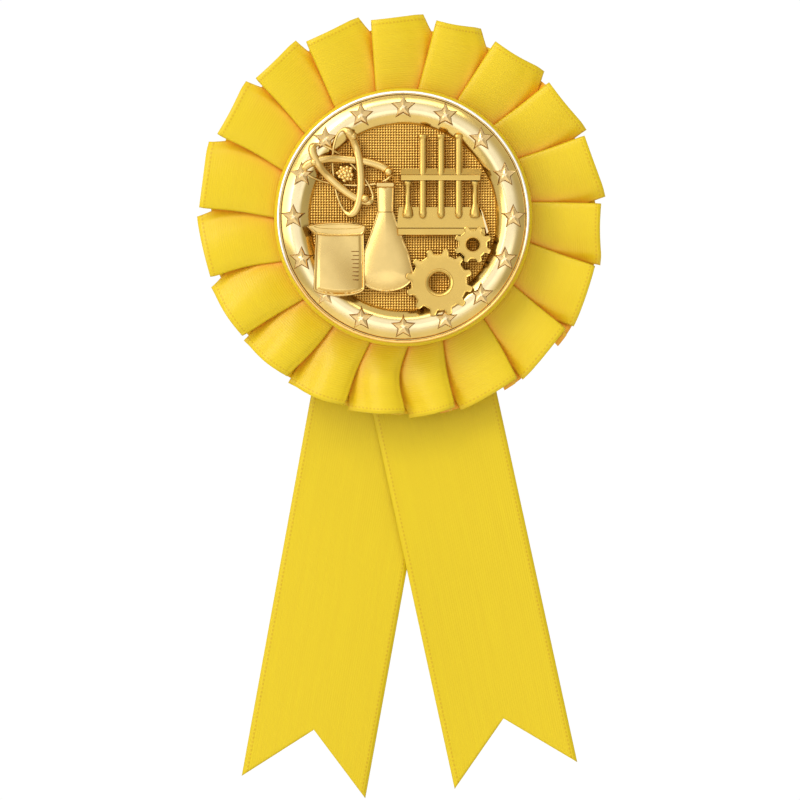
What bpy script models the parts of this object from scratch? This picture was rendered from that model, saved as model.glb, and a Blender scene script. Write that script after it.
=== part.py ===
"""Award ribbon: a pleated satin rosette with a struck medal, two swallow-tailed
ribbons and a locking bar pin on its back.

The object hangs as it is worn: +Z is up, the medal faces -Y, and the origin is the
middle of the backing card's rear face, which lies against the garment.

Everything is first laid out in the face frame, seen from the front: x to the right,
y up, and height out of the garment towards the viewer. One empty turns that frame
upright. The pin lies behind the card, at negative heights.
"""

import math

import bmesh
import bpy
from mathutils import Matrix, Vector

MM = 0.001

# ---- driving dimensions ----------------------------------------------------

GAP = 0.3 * MM  # air left between two pieces that touch

RIBBON_WIDTH = 25.4 * MM
RIBBON_THICKNESS = 0.4 * MM

ROSETTE_RADIUS = 40.2 * MM  # centre to the outer edge of a pleat's face
PLEAT_COUNT = 19
PLEAT_FACE = 11.0 * MM  # width of one pleat's face
PLEAT_PLY = 1.0 * MM  # a pleat's folded layers, pressed together
PLEAT_TILT = math.radians(13)  # each pleat's left fold lies over the pleat before it
PLEAT_RISE = math.radians(3)  # the pleats stand up towards their outer edge
UNDERLAY_SETBACK = 1.6 * MM  # layer between the pleats' faces, from their edge

THREAD_RADIUS = 0.3 * MM
THREAD_INSET = 1.2 * MM  # from the ribbon's inner edge

CARD_THICKNESS = 1.0 * MM
BACK_CARD_SETBACK = 10.2 * MM  # from the rosette's edge
PLEAT_CARD_SETBACK = 13.2 * MM

TAPE_THICKNESS = 0.8 * MM
TAPE_WIDTH = 7.0 * MM
TAPE_SETBACK = 0.5 * MM  # back card's tape inside the pleat card's edge

STAPLE_CROWN = 10.0 * MM
STAPLE_WIRE_RADIUS = 0.3 * MM
STAPLE_CLINCH = 3.0 * MM
STAPLE_SPACING = 7.0 * MM
STAPLE_CLEARANCE = 1.7 * MM  # lower staple's corners to the thread

TAIL_CROSSING_X = -0.4 * MM
TAIL_TOP = 9.0 * MM  # ribbon above the crossing
REAR_TAIL_ANGLE = math.radians(-10.3)
REAR_TAIL_LENGTH = 110.6 * MM  # crossing to the swallow-tail's points
FRONT_TAIL_ANGLE = math.radians(12.3)
FRONT_TAIL_LENGTH = 109.0 * MM
TAIL_NOTCH = 11.8 * MM
TAIL_BEND_DROP = 1.6 * MM  # bend line below the pleats' corners
TAIL_BEND_GAP = 0.6 * MM  # gap in the solid at the bend line, so that it can swing

MEDAL_RADIUS = 25.6 * MM
MEDAL_BASE = 1.3 * MM  # rear face to the sunk field
MEDAL_LIP = 0.8 * MM
MEDAL_LIP_HEIGHT = 2.4 * MM
MEDAL_GROOVE = 0.8 * MM
MEDAL_GROOVE_HEIGHT = 1.7 * MM
MEDAL_BAND_WIDTH = 5.0 * MM
MEDAL_BAND_HEIGHT = 3.1 * MM
MEDAL_PAD_RADIUS = 19.0 * MM

BUTTON_LIP = 0.9 * MM  # satin that shows round the medal
BUTTON_CARD_THICKNESS = 1.2 * MM
BUTTON_CLOTH = 0.4 * MM
BUTTON_HEM = 4.0 * MM

STAR_COUNT = 16
STAR_RADIUS = 2.3 * MM
STAR_INNER_SHARE = 0.42
STAR_HEIGHT = 0.45 * MM  # above the band's crest

PIN_CENTRE_Y = 12.0 * MM
PIN_BASE_LENGTH = 32.0 * MM
PIN_BASE_WIDTH = 6.0 * MM
PIN_BASE_THICKNESS = 0.8 * MM
PIN_AXIS_HEIGHT = 3.0 * MM  # wire's centre above the base
PIN_WIRE_RADIUS = 0.45 * MM
PIN_EYE_RADIUS = 1.4 * MM
PIN_EYE_WIDTH = 2.4 * MM
PIN_END_INSET = 3.0 * MM  # hinge and catch from the base's ends
EAR_THICKNESS = 0.7 * MM
EAR_LENGTH = 3.6 * MM
RIVET_RADIUS = 0.5 * MM
RIVET_HEAD_RADIUS = 1.0 * MM
RIVET_HEAD_THICKNESS = 0.4 * MM
RUNNING = 0.1 * MM  # radial clearance of a part that turns

SLEEVE_BORE_RADIUS = 0.85 * MM
SLEEVE_WALL = 0.75 * MM
SLEEVE_FLANGE = 0.6 * MM
SLEEVE_FLANGE_WIDTH = 0.9 * MM
SLEEVE_TAB = 1.6 * MM
HOUSING_WALL = 0.7 * MM
HOUSING_WIDTH = 2.4 * MM
SLOT_CLEARANCE = 0.15 * MM  # each side of the wire
PIN_POINT = 2.0 * MM
PIN_OVERHANG = 1.2 * MM  # wire past the catch

ROUND = 64  # sides of a large round part
SMALL_ROUND = 24

# ---- places that follow from them --------------------------------------------

RIBBON_INNER = ROSETTE_RADIUS - RIBBON_WIDTH
PLEAT_CORNER = math.hypot(ROSETTE_RADIUS, PLEAT_FACE / 2)
BACK_CARD_RADIUS = ROSETTE_RADIUS - BACK_CARD_SETBACK
PLEAT_CARD_RADIUS = ROSETTE_RADIUS - PLEAT_CARD_SETBACK
UNDERLAY_RADIUS = ROSETTE_RADIUS - UNDERLAY_SETBACK
# The staples are bent over inside the pleats' eye, and the tails cross between them.
STAPLE_REACH = RIBBON_INNER - THREAD_INSET - THREAD_RADIUS - STAPLE_CLEARANCE
STAPLE_CORNER = STAPLE_CROWN / 2 + STAPLE_WIRE_RADIUS + abs(TAIL_CROSSING_X)
LOWER_STAPLE_Y = STAPLE_WIRE_RADIUS - math.sqrt(STAPLE_REACH**2 - STAPLE_CORNER**2)
TAIL_PIVOT = Vector((TAIL_CROSSING_X, LOWER_STAPLE_Y + STAPLE_SPACING / 2))
BUTTON_RADIUS = MEDAL_RADIUS + BUTTON_LIP
STAR_CIRCLE = MEDAL_RADIUS - MEDAL_LIP - MEDAL_GROOVE - 0.44 * MEDAL_BAND_WIDTH
FIELD_RADIUS = MEDAL_RADIUS - MEDAL_LIP - MEDAL_GROOVE - MEDAL_BAND_WIDTH
TAIL_BEND_Y = -(PLEAT_CORNER + TAIL_BEND_DROP)


def layer_on(last, thickness):
    """(bottom, top) heights of a layer that lies on the last one."""
    return last[1] + GAP, last[1] + GAP + thickness


def layer_under(last, thickness):
    """(bottom, top) heights of a layer behind the last one."""
    return last[0] - GAP - thickness, last[0] - GAP


BACK_CARD = (0.0, CARD_THICKNESS)
TAPE = layer_on(BACK_CARD, TAPE_THICKNESS)
REAR_TAIL = layer_on(TAPE, RIBBON_THICKNESS)
FRONT_TAIL = layer_on(REAR_TAIL, RIBBON_THICKNESS)
PLEAT_CARD = layer_on(FRONT_TAIL, CARD_THICKNESS)
UNDERLAY = layer_on(PLEAT_CARD, PLEAT_PLY)
PLEAT_MIDDLE = UNDERLAY[1] + 0.5 * PLEAT_FACE * math.sin(PLEAT_TILT)
PLEAT_TOP = PLEAT_MIDDLE + 0.5 * PLEAT_FACE * math.sin(PLEAT_TILT) + 0.5 * PLEAT_PLY
# The button presses the rising pleats where its own edge meets them.
BUTTON_SEAT = PLEAT_TOP + (BUTTON_RADIUS - RIBBON_INNER) * math.sin(PLEAT_RISE)
BUTTON_HEM_LAYER = layer_on((0.0, BUTTON_SEAT), BUTTON_CLOTH)
BUTTON_CARD = layer_on(BUTTON_HEM_LAYER, BUTTON_CARD_THICKNESS)
BUTTON_FRONT = layer_on(BUTTON_CARD, BUTTON_CLOTH)
MEDAL_PAD = layer_on(BUTTON_FRONT, TAPE_THICKNESS)
MEDAL_BACK = MEDAL_PAD[1] + GAP

PIN_PAD = layer_under(BACK_CARD, TAPE_THICKNESS)
PIN_BASE = layer_under(PIN_PAD, PIN_BASE_THICKNESS)
PIN_AXIS = PIN_BASE[0] - PIN_AXIS_HEIGHT
HINGE_X = -(PIN_BASE_LENGTH / 2 - PIN_END_INSET)
CATCH_X = PIN_BASE_LENGTH / 2 - PIN_END_INSET
SLEEVE_RADIUS = SLEEVE_BORE_RADIUS + SLEEVE_WALL
HOUSING_BORE = SLEEVE_RADIUS + RUNNING
HOUSING_RADIUS = HOUSING_BORE + HOUSING_WALL

# ---- scene, materials and helpers -----------------------------------------------

for left_over in list(bpy.data.objects):
    bpy.data.objects.remove(left_over, do_unlink=True)


def new_collection(name):
    made = bpy.data.collections.new(name)
    bpy.context.scene.collection.children.link(made)
    return made


PARTS = new_collection("award_ribbon")
CUTTERS = new_collection("cutters")
RELIEF = new_collection("medal_relief")
FACE = bpy.data.objects.new("face_frame", None)
FACE.rotation_euler.x = math.radians(90)
PARTS.objects.link(FACE)


def material(name, colour, roughness, metallic=0.0):
    made = bpy.data.materials.new(name)
    made.use_nodes = True
    shader = made.node_tree.nodes["Principled BSDF"]
    shader.inputs["Base Color"].default_value = (*colour, 1)
    shader.inputs["Roughness"].default_value = roughness
    shader.inputs["Metallic"].default_value = metallic
    return made


SATIN = material("yellow satin", (0.85, 0.62, 0.03), 0.45)
GOLD = material("gold plate", (0.83, 0.58, 0.22), 0.25, 1.0)
WHITE_CARD = material("white card", (0.86, 0.85, 0.82), 0.85)
GREY_CARD = material("grey board", (0.55, 0.53, 0.5), 0.9)
FOAM = material("white foam tape", (0.9, 0.9, 0.88), 0.9)
STEEL = material("plated steel", (0.72, 0.72, 0.72), 0.3, 1.0)
THREAD = material("yellow thread", (0.8, 0.55, 0.05), 0.7)


def place(obj, looks=None, collection=PARTS):
    """Puts an object in the face frame, as a part or as a helper."""
    collection.objects.link(obj)
    obj.parent = FACE
    if looks:
        obj.data.materials.append(looks)
    if collection is not PARTS:
        obj.hide_render = True
        obj.display_type = "WIRE"
    return obj


def mesh_object(name, shape, looks=None, collection=PARTS, smooth=None):
    """The bmesh as a new object. smooth is the angle past which an edge stays sharp."""
    bmesh.ops.recalc_face_normals(shape, faces=shape.faces)
    mesh = bpy.data.meshes.new(name)
    shape.to_mesh(mesh)
    shape.free()
    if smooth:
        mesh.shade_smooth()
        mesh.set_sharp_from_angle(angle=smooth)
    return place(bpy.data.objects.new(name, mesh), looks, collection)


def box(size_x, size_y, size_z, centre):
    shape = bmesh.new()
    bmesh.ops.create_cube(shape, size=1)
    bmesh.ops.scale(shape, vec=(size_x, size_y, size_z), verts=shape.verts)
    bmesh.ops.translate(shape, vec=centre, verts=shape.verts)
    return shape


def cylinder(radius, length, centre, axis="Z", sides=SMALL_ROUND, end_radius=None):
    """A round bar or, with end_radius, a cone that narrows along +axis."""
    shape = bmesh.new()
    bmesh.ops.create_cone(
        shape,
        cap_ends=True,
        segments=sides,
        radius1=radius,
        radius2=radius if end_radius is None else end_radius,
        depth=length,
    )
    turn = {
        "X": Matrix.Rotation(math.radians(90), 3, "Y"),
        "Y": Matrix.Rotation(math.radians(-90), 3, "X"),
        "Z": Matrix.Identity(3),
    }[axis]
    bmesh.ops.rotate(shape, matrix=turn, verts=shape.verts)
    bmesh.ops.translate(shape, vec=centre, verts=shape.verts)
    return shape


def turned(name, profile, looks, height=0.0, sides=ROUND):
    """A solid of revolution about the height axis. The profile is (radius, height)
    points that start at the top and run down the outer side."""
    mesh = bpy.data.meshes.new(name)
    closed = profile[0][0] > 0 or profile[-1][0] > 0
    edges = [(i, i + 1) for i in range(len(profile) - 1)]
    if closed:
        edges.append((len(profile) - 1, 0))
    mesh.from_pydata([(r, 0, h) for r, h in profile], edges, [])
    obj = place(bpy.data.objects.new(name, mesh), looks)
    obj.location.z = height
    screw = obj.modifiers.new("turn", "SCREW")
    screw.axis = "Z"
    screw.steps = screw.render_steps = sides
    screw.use_merge_vertices = True
    screw.merge_threshold = 0.00001
    return obj


def ring(name, inner, outer, layer, looks):
    bottom, top = layer
    return turned(
        name, [(outer, top), (outer, bottom), (inner, bottom), (inner, top)], looks
    )


def disc(name, radius, layer, looks):
    bottom, top = layer
    return turned(name, [(0, top), (radius, top), (radius, bottom), (0, bottom)], looks)


def plate(name, outline, layer, looks=None, collection=PARTS):
    """A flat plate with this outline, between the layer's two heights."""
    curve = bpy.data.curves.new(name, "CURVE")
    curve.dimensions = "2D"
    curve.fill_mode = "BOTH"
    curve.extrude = (layer[1] - layer[0]) / 2
    spline = curve.splines.new("POLY")
    spline.points.add(len(outline) - 1)
    for point, corner in zip(spline.points, outline):
        point.co = (*corner, 0, 1)
    spline.use_cyclic_u = True
    return as_mesh(name, curve, looks, collection, height=sum(layer) / 2)


def as_mesh(name, curve, looks, collection=PARTS, height=0.0):
    """A curve made a closed mesh, so that it can be cut."""
    helper = bpy.data.objects.new(name + "_curve", curve)
    bpy.context.scene.collection.objects.link(helper)
    graph = bpy.context.evaluated_depsgraph_get()
    mesh = bpy.data.meshes.new_from_object(helper.evaluated_get(graph))
    bpy.data.objects.remove(helper)
    mesh.materials.clear()
    shape = bmesh.new()
    shape.from_mesh(mesh)
    bpy.data.meshes.remove(mesh)
    bmesh.ops.remove_doubles(shape, verts=shape.verts, dist=0.000001)
    bmesh.ops.translate(shape, vec=(0, 0, height), verts=shape.verts)
    return mesh_object(name, shape, looks, collection)


def wire(name, points, radius, looks):
    """A bent round wire through these points."""
    curve = bpy.data.curves.new(name, "CURVE")
    curve.dimensions = "3D"
    curve.bevel_depth = radius
    curve.bevel_resolution = 2
    curve.use_fill_caps = True
    spline = curve.splines.new("POLY")
    spline.points.add(len(points) - 1)
    for point, corner in zip(spline.points, points):
        point.co = (*corner, 1)
    return as_mesh(name, curve, looks)


def boolean(obj, operation, *tools):
    for tool in tools:
        modifier = obj.modifiers.new(f"{operation.lower()} {tool.name}", "BOOLEAN")
        modifier.operation = operation
        modifier.solver = "EXACT"
        modifier.object = tool


def helper(name, shape):
    return mesh_object(name, shape, collection=CUTTERS)


# ---- rosette: the pleated ribbon, its thread and its cards -----------------------


def pleat_block(index):
    """One pleat's face, tilted on its fold and turned to its place in the ring."""
    radial_length = ROSETTE_RADIUS - RIBBON_INNER
    shape = box(PLEAT_FACE, radial_length, PLEAT_PLY, (0, radial_length / 2, 0))
    tilt = Matrix.Rotation(PLEAT_TILT, 4, "Y")
    rise = Matrix.Rotation(PLEAT_RISE, 4, "X")
    out = Matrix.Translation((0, RIBBON_INNER, PLEAT_MIDDLE))
    turn = Matrix.Rotation(-2 * math.pi * index / PLEAT_COUNT, 4, "Z")
    bmesh.ops.transform(shape, matrix=turn @ out @ rise @ tilt, verts=shape.verts)
    return helper(f"pleat_{index:02d}", shape)


def rosette_ribbon():
    ribbon = ring(
        "rosette_ribbon", RIBBON_INNER, UNDERLAY_RADIUS, UNDERLAY, SATIN
    )
    boolean(ribbon, "UNION", *(pleat_block(i) for i in range(PLEAT_COUNT)))
    # The folds are pressed flat where the button and the pleat card hold them.
    floor = cylinder(
        ROSETTE_RADIUS * 1.5, 10 * MM, (0, 0, UNDERLAY[0] - 5 * MM), sides=ROUND
    )
    core = cylinder(RIBBON_INNER, 40 * MM, (0, 0, UNDERLAY[0]), sides=ROUND)
    boolean(ribbon, "DIFFERENCE", helper("pleat_floor", floor))
    boolean(ribbon, "DIFFERENCE", helper("rosette_eye", core))
    return ribbon


def gathering_thread():
    """The loop of thread that draws the pleats' inner edge in. It lies in the eye."""
    shape_radius = RIBBON_INNER - THREAD_INSET
    profile = [
        (
            shape_radius + THREAD_RADIUS * math.cos(step * math.pi / 4),
            -THREAD_RADIUS * math.sin(step * math.pi / 4),
        )
        for step in range(8)
    ]
    return turned(
        "gathering_thread", profile, THREAD, PLEAT_CARD[1] + GAP + THREAD_RADIUS
    )


def tail_outline(angle, length, margin=0.0):
    """(left edge, right edge, end) of a tail, in the face frame. The two edges are
    lines as (point, direction), and the end is the swallow-tail's three corners."""
    along = Vector((math.sin(angle), -math.cos(angle)))
    across = Vector((math.cos(angle), math.sin(angle)))
    half = across * (RIBBON_WIDTH / 2 + margin)
    left = (TAIL_PIVOT - half, along)
    right = (TAIL_PIVOT + half, along)
    end = [
        left[0] + along * length,
        TAIL_PIVOT + along * (length - TAIL_NOTCH),
        right[0] + along * length,
    ]
    return left, right, end


def tail_channel(name, angle, length):
    """The room that a tail takes out of the thick tape, down to the tape's floor."""
    left, right, end = tail_outline(angle, length, GAP)
    top = [edge[0] - edge[1] * (TAIL_TOP + GAP) for edge in (right, left)]
    layer = (TAPE[1], PLEAT_CARD[1])
    return plate(name, [*top, *end], layer, collection=CUTTERS)


def cards():
    """The back card, and the foam ring that fills up to the pleat card round the tails."""
    disc("back_card", BACK_CARD_RADIUS, BACK_CARD, WHITE_CARD)
    tape_outer = PLEAT_CARD_RADIUS - TAPE_SETBACK
    tape = ring(
        "back_card_tape",
        tape_outer - TAPE_WIDTH,
        tape_outer,
        (TAPE[0], PLEAT_CARD[0] - GAP),
        FOAM,
    )
    boolean(
        tape,
        "DIFFERENCE",
        tail_channel("rear_channel", REAR_TAIL_ANGLE, REAR_TAIL_LENGTH),
        tail_channel("front_channel", FRONT_TAIL_ANGLE, FRONT_TAIL_LENGTH),
    )
    return disc("pleat_card", PLEAT_CARD_RADIUS, PLEAT_CARD, GREY_CARD)


# ---- tails: two ribbons, stapled through the pleat card --------------------------


def edge_at(edge, y):
    """The point of a tail's edge at this height on the face."""
    point, direction = edge
    return point + direction * ((y - point.y) / direction.y)


def tail(name, angle, length, layer, leg_holes):
    """The sewn-in root of a tail, and the part that hangs free below the bend."""
    left, right, end = tail_outline(angle, length)
    top = [edge[0] - edge[1] * TAIL_TOP for edge in (right, left)]
    upper = TAIL_BEND_Y + TAIL_BEND_GAP / 2
    lower = TAIL_BEND_Y - TAIL_BEND_GAP / 2
    root = plate(
        f"{name}_root",
        [*top, edge_at(left, upper), edge_at(right, upper)],
        layer,
        SATIN,
    )
    boolean(root, "DIFFERENCE", *leg_holes)
    plate(name, [edge_at(left, lower), *end, edge_at(right, lower)], layer, SATIN)


def staple(name, centre_y):
    """A wire staple from behind the tails, clinched on the pleat card's front."""
    reach = STAPLE_CROWN / 2
    x = TAIL_PIVOT.x
    crown = REAR_TAIL[0] - GAP - STAPLE_WIRE_RADIUS
    clinch = PLEAT_CARD[1] + GAP + STAPLE_WIRE_RADIUS
    points = [
        (x - reach + STAPLE_CLINCH, centre_y, clinch),
        (x - reach, centre_y, clinch),
        (x - reach, centre_y, crown),
        (x + reach, centre_y, crown),
        (x + reach, centre_y, clinch),
        (x + reach - STAPLE_CLINCH, centre_y, clinch),
    ]
    return wire(name, points, STAPLE_WIRE_RADIUS, STEEL)


def leg_hole(index, x, y):
    length = PLEAT_CARD[1] - REAR_TAIL[0] + 4 * MM
    middle = (PLEAT_CARD[1] + REAR_TAIL[0]) / 2
    return helper(
        f"leg_hole_{index}",
        cylinder(STAPLE_WIRE_RADIUS + GAP, length, (x, y, middle), sides=12),
    )


def tails_and_staples(pleat_card):
    rows = [LOWER_STAPLE_Y + STAPLE_SPACING, LOWER_STAPLE_Y]
    sides = [TAIL_PIVOT.x - STAPLE_CROWN / 2, TAIL_PIVOT.x + STAPLE_CROWN / 2]
    holes = [
        leg_hole(i, x, y)
        for i, (x, y) in enumerate((x, y) for y in rows for x in sides)
    ]
    boolean(pleat_card, "DIFFERENCE", *holes)
    tail("tail_rear", REAR_TAIL_ANGLE, REAR_TAIL_LENGTH, REAR_TAIL, holes)
    tail("tail_front", FRONT_TAIL_ANGLE, FRONT_TAIL_LENGTH, FRONT_TAIL, holes)
    staple("staple_upper", rows[0])
    staple("staple_lower", rows[1])


# ---- button: card covered with satin ---------------------------------------------


def button():
    card_radius = BUTTON_RADIUS - BUTTON_CLOTH - GAP
    disc("button_card", card_radius, BUTTON_CARD, GREY_CARD)
    inside = card_radius + GAP
    hem_radius = card_radius - BUTTON_HEM
    bottom, hem_top = BUTTON_HEM_LAYER
    under_front, top = BUTTON_FRONT
    soft = 0.5 * BUTTON_CLOTH
    profile = [
        (0, top),
        (BUTTON_RADIUS - soft, top),
        (BUTTON_RADIUS, top - soft),
        (BUTTON_RADIUS, bottom),
        (hem_radius, bottom),
        (hem_radius, hem_top),
        (inside, hem_top),
        (inside, under_front),
        (0, under_front),
    ]
    turned("button_cover", profile, SATIN)
    disc("button_pad", hem_radius - GAP, BUTTON_HEM_LAYER, FOAM)
    disc("medal_pad", MEDAL_PAD_RADIUS, MEDAL_PAD, FOAM)


# ---- medal: a struck disc with a lip, a starred band and an emblem ----------------


def medal_profile():
    """(radius, height) of the turned blank, from the field's middle to the back."""
    lip_inner = MEDAL_RADIUS - MEDAL_LIP
    band_outer = lip_inner - MEDAL_GROOVE
    band_middle = band_outer - MEDAL_BAND_WIDTH / 2
    points = [(0, MEDAL_BASE), (FIELD_RADIUS, MEDAL_BASE)]
    arc_steps = 8
    for step in range(1, arc_steps + 1):
        turn = math.pi * step / arc_steps
        floor = MEDAL_BASE + (MEDAL_GROOVE_HEIGHT - MEDAL_BASE) * step / arc_steps
        rise = (MEDAL_BAND_HEIGHT - floor) * math.sin(turn) ** 0.8
        points.append((band_middle - MEDAL_BAND_WIDTH / 2 * math.cos(turn), floor + rise))
    soft = 0.25 * MEDAL_LIP
    points += [
        (lip_inner, MEDAL_GROOVE_HEIGHT),
        (lip_inner + soft, MEDAL_LIP_HEIGHT),
        (MEDAL_RADIUS - soft, MEDAL_LIP_HEIGHT),
        (MEDAL_RADIUS, MEDAL_LIP_HEIGHT - soft),
        (MEDAL_RADIUS, soft),
        (MEDAL_RADIUS - soft, 0),
        (0, 0),
    ]
    return points


def relief(name, shape):
    """A raised shape of the medal, which the blank is joined with."""
    raised = mesh_object(name, shape, collection=RELIEF)
    raised.location.z = MEDAL_BACK
    return raised


def raised_outline(corners, bottom, top):
    shape = bmesh.new()
    face = shape.faces.new([shape.verts.new((*corner, bottom)) for corner in corners])
    raised = bmesh.ops.extrude_face_region(shape, geom=[face])["geom"]
    bmesh.ops.translate(
        shape,
        vec=(0, 0, top - bottom),
        verts=[v for v in raised if isinstance(v, bmesh.types.BMVert)],
    )
    return shape


def star(index):
    turn = 2 * math.pi * index / STAR_COUNT
    x, y = STAR_CIRCLE * math.sin(turn), STAR_CIRCLE * math.cos(turn)
    corners = []
    for step in range(10):
        reach = STAR_RADIUS * (1 if step % 2 == 0 else STAR_INNER_SHARE)
        angle = math.pi * step / 5
        corners.append((x + reach * math.sin(angle), y + reach * math.cos(angle)))
    top = MEDAL_BAND_HEIGHT + STAR_HEIGHT
    relief(f"star_{index:02d}", raised_outline(corners, MEDAL_BASE / 2, top))


def gear(name, centre, root_radius, tooth, teeth, bore, height):
    """A spur gear with straight-sided teeth, and its bore left open."""
    shape = bmesh.new()
    loops = []
    for tooth_side in ("outline", "bore"):
        steps = 4 * teeth
        made = bmesh.ops.create_circle(shape, segments=steps, radius=bore)["verts"]
        for step, vert in enumerate(made):
            angle = 2 * math.pi * step / steps
            reach = root_radius + (tooth if step % 4 in (0, 1) else 0)
            if tooth_side == "outline":
                vert.co = (reach * math.cos(angle), reach * math.sin(angle), 0)
            else:
                vert.co = (bore * math.cos(angle), bore * math.sin(angle), 0)
        loops += list({edge for vert in made for edge in vert.link_edges})
    faces = bmesh.ops.bridge_loops(shape, edges=loops)["faces"]
    raised = bmesh.ops.extrude_face_region(shape, geom=faces)["geom"]
    bmesh.ops.translate(
        shape,
        vec=(0, 0, height),
        verts=[v for v in raised if isinstance(v, bmesh.types.BMVert)],
    )
    bmesh.ops.translate(shape, vec=(*centre, MEDAL_BASE / 2), verts=shape.verts)
    relief(name, shape)


def orbit(name, centre, angle, reach, flatness, tube):
    """One elliptical ring of the atom."""
    shape = bmesh.new()
    around, section = 32, 6
    bmesh.ops.create_circle(shape, segments=section, radius=tube)
    bmesh.ops.rotate(
        shape, matrix=Matrix.Rotation(math.radians(90), 3, "X"), verts=shape.verts
    )
    bmesh.ops.translate(shape, vec=(reach, 0, 0), verts=shape.verts)
    bmesh.ops.spin(
        shape,
        geom=list(shape.edges) + list(shape.verts),
        axis=(0, 0, 1),
        cent=(0, 0, 0),
        angle=2 * math.pi,
        steps=around,
        use_merge=True,
    )
    bmesh.ops.remove_doubles(shape, verts=shape.verts, dist=0.000001)
    for vert in shape.verts:
        out = Vector((vert.co.x, vert.co.y)).normalized()
        extra = math.hypot(vert.co.x, vert.co.y) - reach
        vert.co.x = out.x * (reach + extra)
        vert.co.y = out.y * (reach * flatness + extra)
    bmesh.ops.rotate(shape, matrix=Matrix.Rotation(angle, 3, "Z"), verts=shape.verts)
    bmesh.ops.translate(shape, vec=(*centre, MEDAL_BASE + tube / 2), verts=shape.verts)
    relief(name, shape)


def emblem():
    """Plain laboratory things on the field, as shares of the field's radius."""
    unit = FIELD_RADIUS
    sunk = MEDAL_BASE / 2

    def at(*corners):
        return [(x * unit, y * unit) for x, y in corners]

    beaker = at(
        (-0.93, -0.83), (-0.4, -0.83), (-0.4, -0.12), (-0.39, -0.08), (-0.99, -0.08), (-0.93, -0.15)
    )
    relief("beaker", raised_outline(beaker, sunk, MEDAL_BASE + 1.2 * MM))
    flask = at(
        (-0.4, -0.79), (0.08, -0.79), (0.11, -0.6), (-0.11, 0.05), (-0.11, 0.36), (-0.3, 0.36), (-0.3, 0.05)
    )
    relief("flask", raised_outline(flask, sunk * 0.9, MEDAL_BASE + 1.0 * MM))
    gear("gear_large", at((0.38, -0.69))[0], 5.3 * MM, 1.1 * MM, 12, 2.4 * MM, 1.75 * MM)
    gear("gear_small", at((0.73, -0.29))[0], 2.9 * MM, 0.9 * MM, 8, 1.3 * MM, 1.6 * MM)
    shelf = at((-0.03, 0.34), (0.84, 0.34), (0.84, 0.47), (-0.03, 0.47))
    relief("rack_shelf", raised_outline(shelf, sunk * 0.8, MEDAL_BASE + 1.1 * MM))
    foot = at((-0.06, -0.21), (0.94, -0.21), (0.86, 0.1), (-0.06, 0.1))
    relief("rack_foot", raised_outline(foot, sunk * 0.7, MEDAL_BASE + 0.5 * MM))
    for index, (x, top, bottom, wide) in enumerate(
        [
            (0.2, 0.86, -0.02, 0.055),
            (0.4, 0.86, -0.02, 0.055),
            (0.585, 0.86, -0.02, 0.055),
            (0.04, 0.4, 0.0, 0.045),
            (0.755, 0.4, 0.0, 0.045),
        ]
    ):
        bar = at((x - wide, bottom), (x + wide, bottom), (x + wide, top), (x - wide, top))
        height = MEDAL_BASE + (0.9 + 0.03 * index) * MM
        relief(f"rack_bar_{index}", raised_outline(bar, sunk * 0.6, height))
    atom = at((-0.61, 0.48))[0]
    for index, angle in enumerate((-4, 92, -45)):
        orbit(f"orbit_{index}", atom, math.radians(angle), 8.4 * MM, 0.3, (0.42 + 0.03 * index) * MM)
    nucleus = bmesh.new()
    bmesh.ops.create_icosphere(nucleus, subdivisions=2, radius=1.9 * MM)
    bmesh.ops.scale(nucleus, vec=(1, 1, 0.6), verts=nucleus.verts)
    bmesh.ops.translate(nucleus, vec=(*atom, MEDAL_BASE), verts=nucleus.verts)
    relief("nucleus", nucleus)


def medal():
    blank = turned("medal", medal_profile(), GOLD, MEDAL_BACK)
    for index in range(STAR_COUNT):
        star(index)
    emblem()
    boolean(blank, "UNION", *RELIEF.objects)
    return blank


# ---- bar pin: base, hinged pin arm and turning catch -----------------------------


def slot_cut(name, width, radius, length):
    """The opening of the catch, from the wire's centre out of the back."""
    depth = radius * 1.5
    return helper(
        name,
        box(
            length * 1.2,
            width,
            depth,
            (CATCH_X, PIN_CENTRE_Y, PIN_AXIS - depth / 2),
        ),
    )


def pin_base():
    bottom, top = PIN_BASE
    middle = (0, PIN_CENTRE_Y, (bottom + top) / 2)
    base = mesh_object(
        "pin_base",
        box(PIN_BASE_LENGTH, PIN_BASE_WIDTH, PIN_BASE_THICKNESS, middle),
        STEEL,
    )
    ear_y = PIN_EYE_WIDTH / 2 + RUNNING + EAR_THICKNESS / 2
    ear_top = PIN_AXIS - PIN_EYE_RADIUS
    sunk = PIN_BASE_THICKNESS / 2
    for index, side in enumerate((-1, 1)):
        ear = box(
            EAR_LENGTH,
            EAR_THICKNESS,
            bottom + sunk - ear_top,
            (HINGE_X, PIN_CENTRE_Y + side * ear_y, (bottom + sunk + ear_top) / 2),
        )
        boolean(base, "UNION", helper(f"ear_{index}", ear))
    bore = cylinder(
        RIVET_RADIUS + RUNNING,
        PIN_BASE_WIDTH * 2,
        (HINGE_X, PIN_CENTRE_Y, PIN_AXIS),
        "Y",
    )
    stem_hole = cylinder(
        HOUSING_WALL + GAP, PIN_BASE_THICKNESS * 3, (CATCH_X, PIN_CENTRE_Y, middle[2])
    )
    boolean(base, "DIFFERENCE", helper("rivet_bore", bore))
    boolean(base, "DIFFERENCE", helper("stem_hole", stem_hole))


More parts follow.
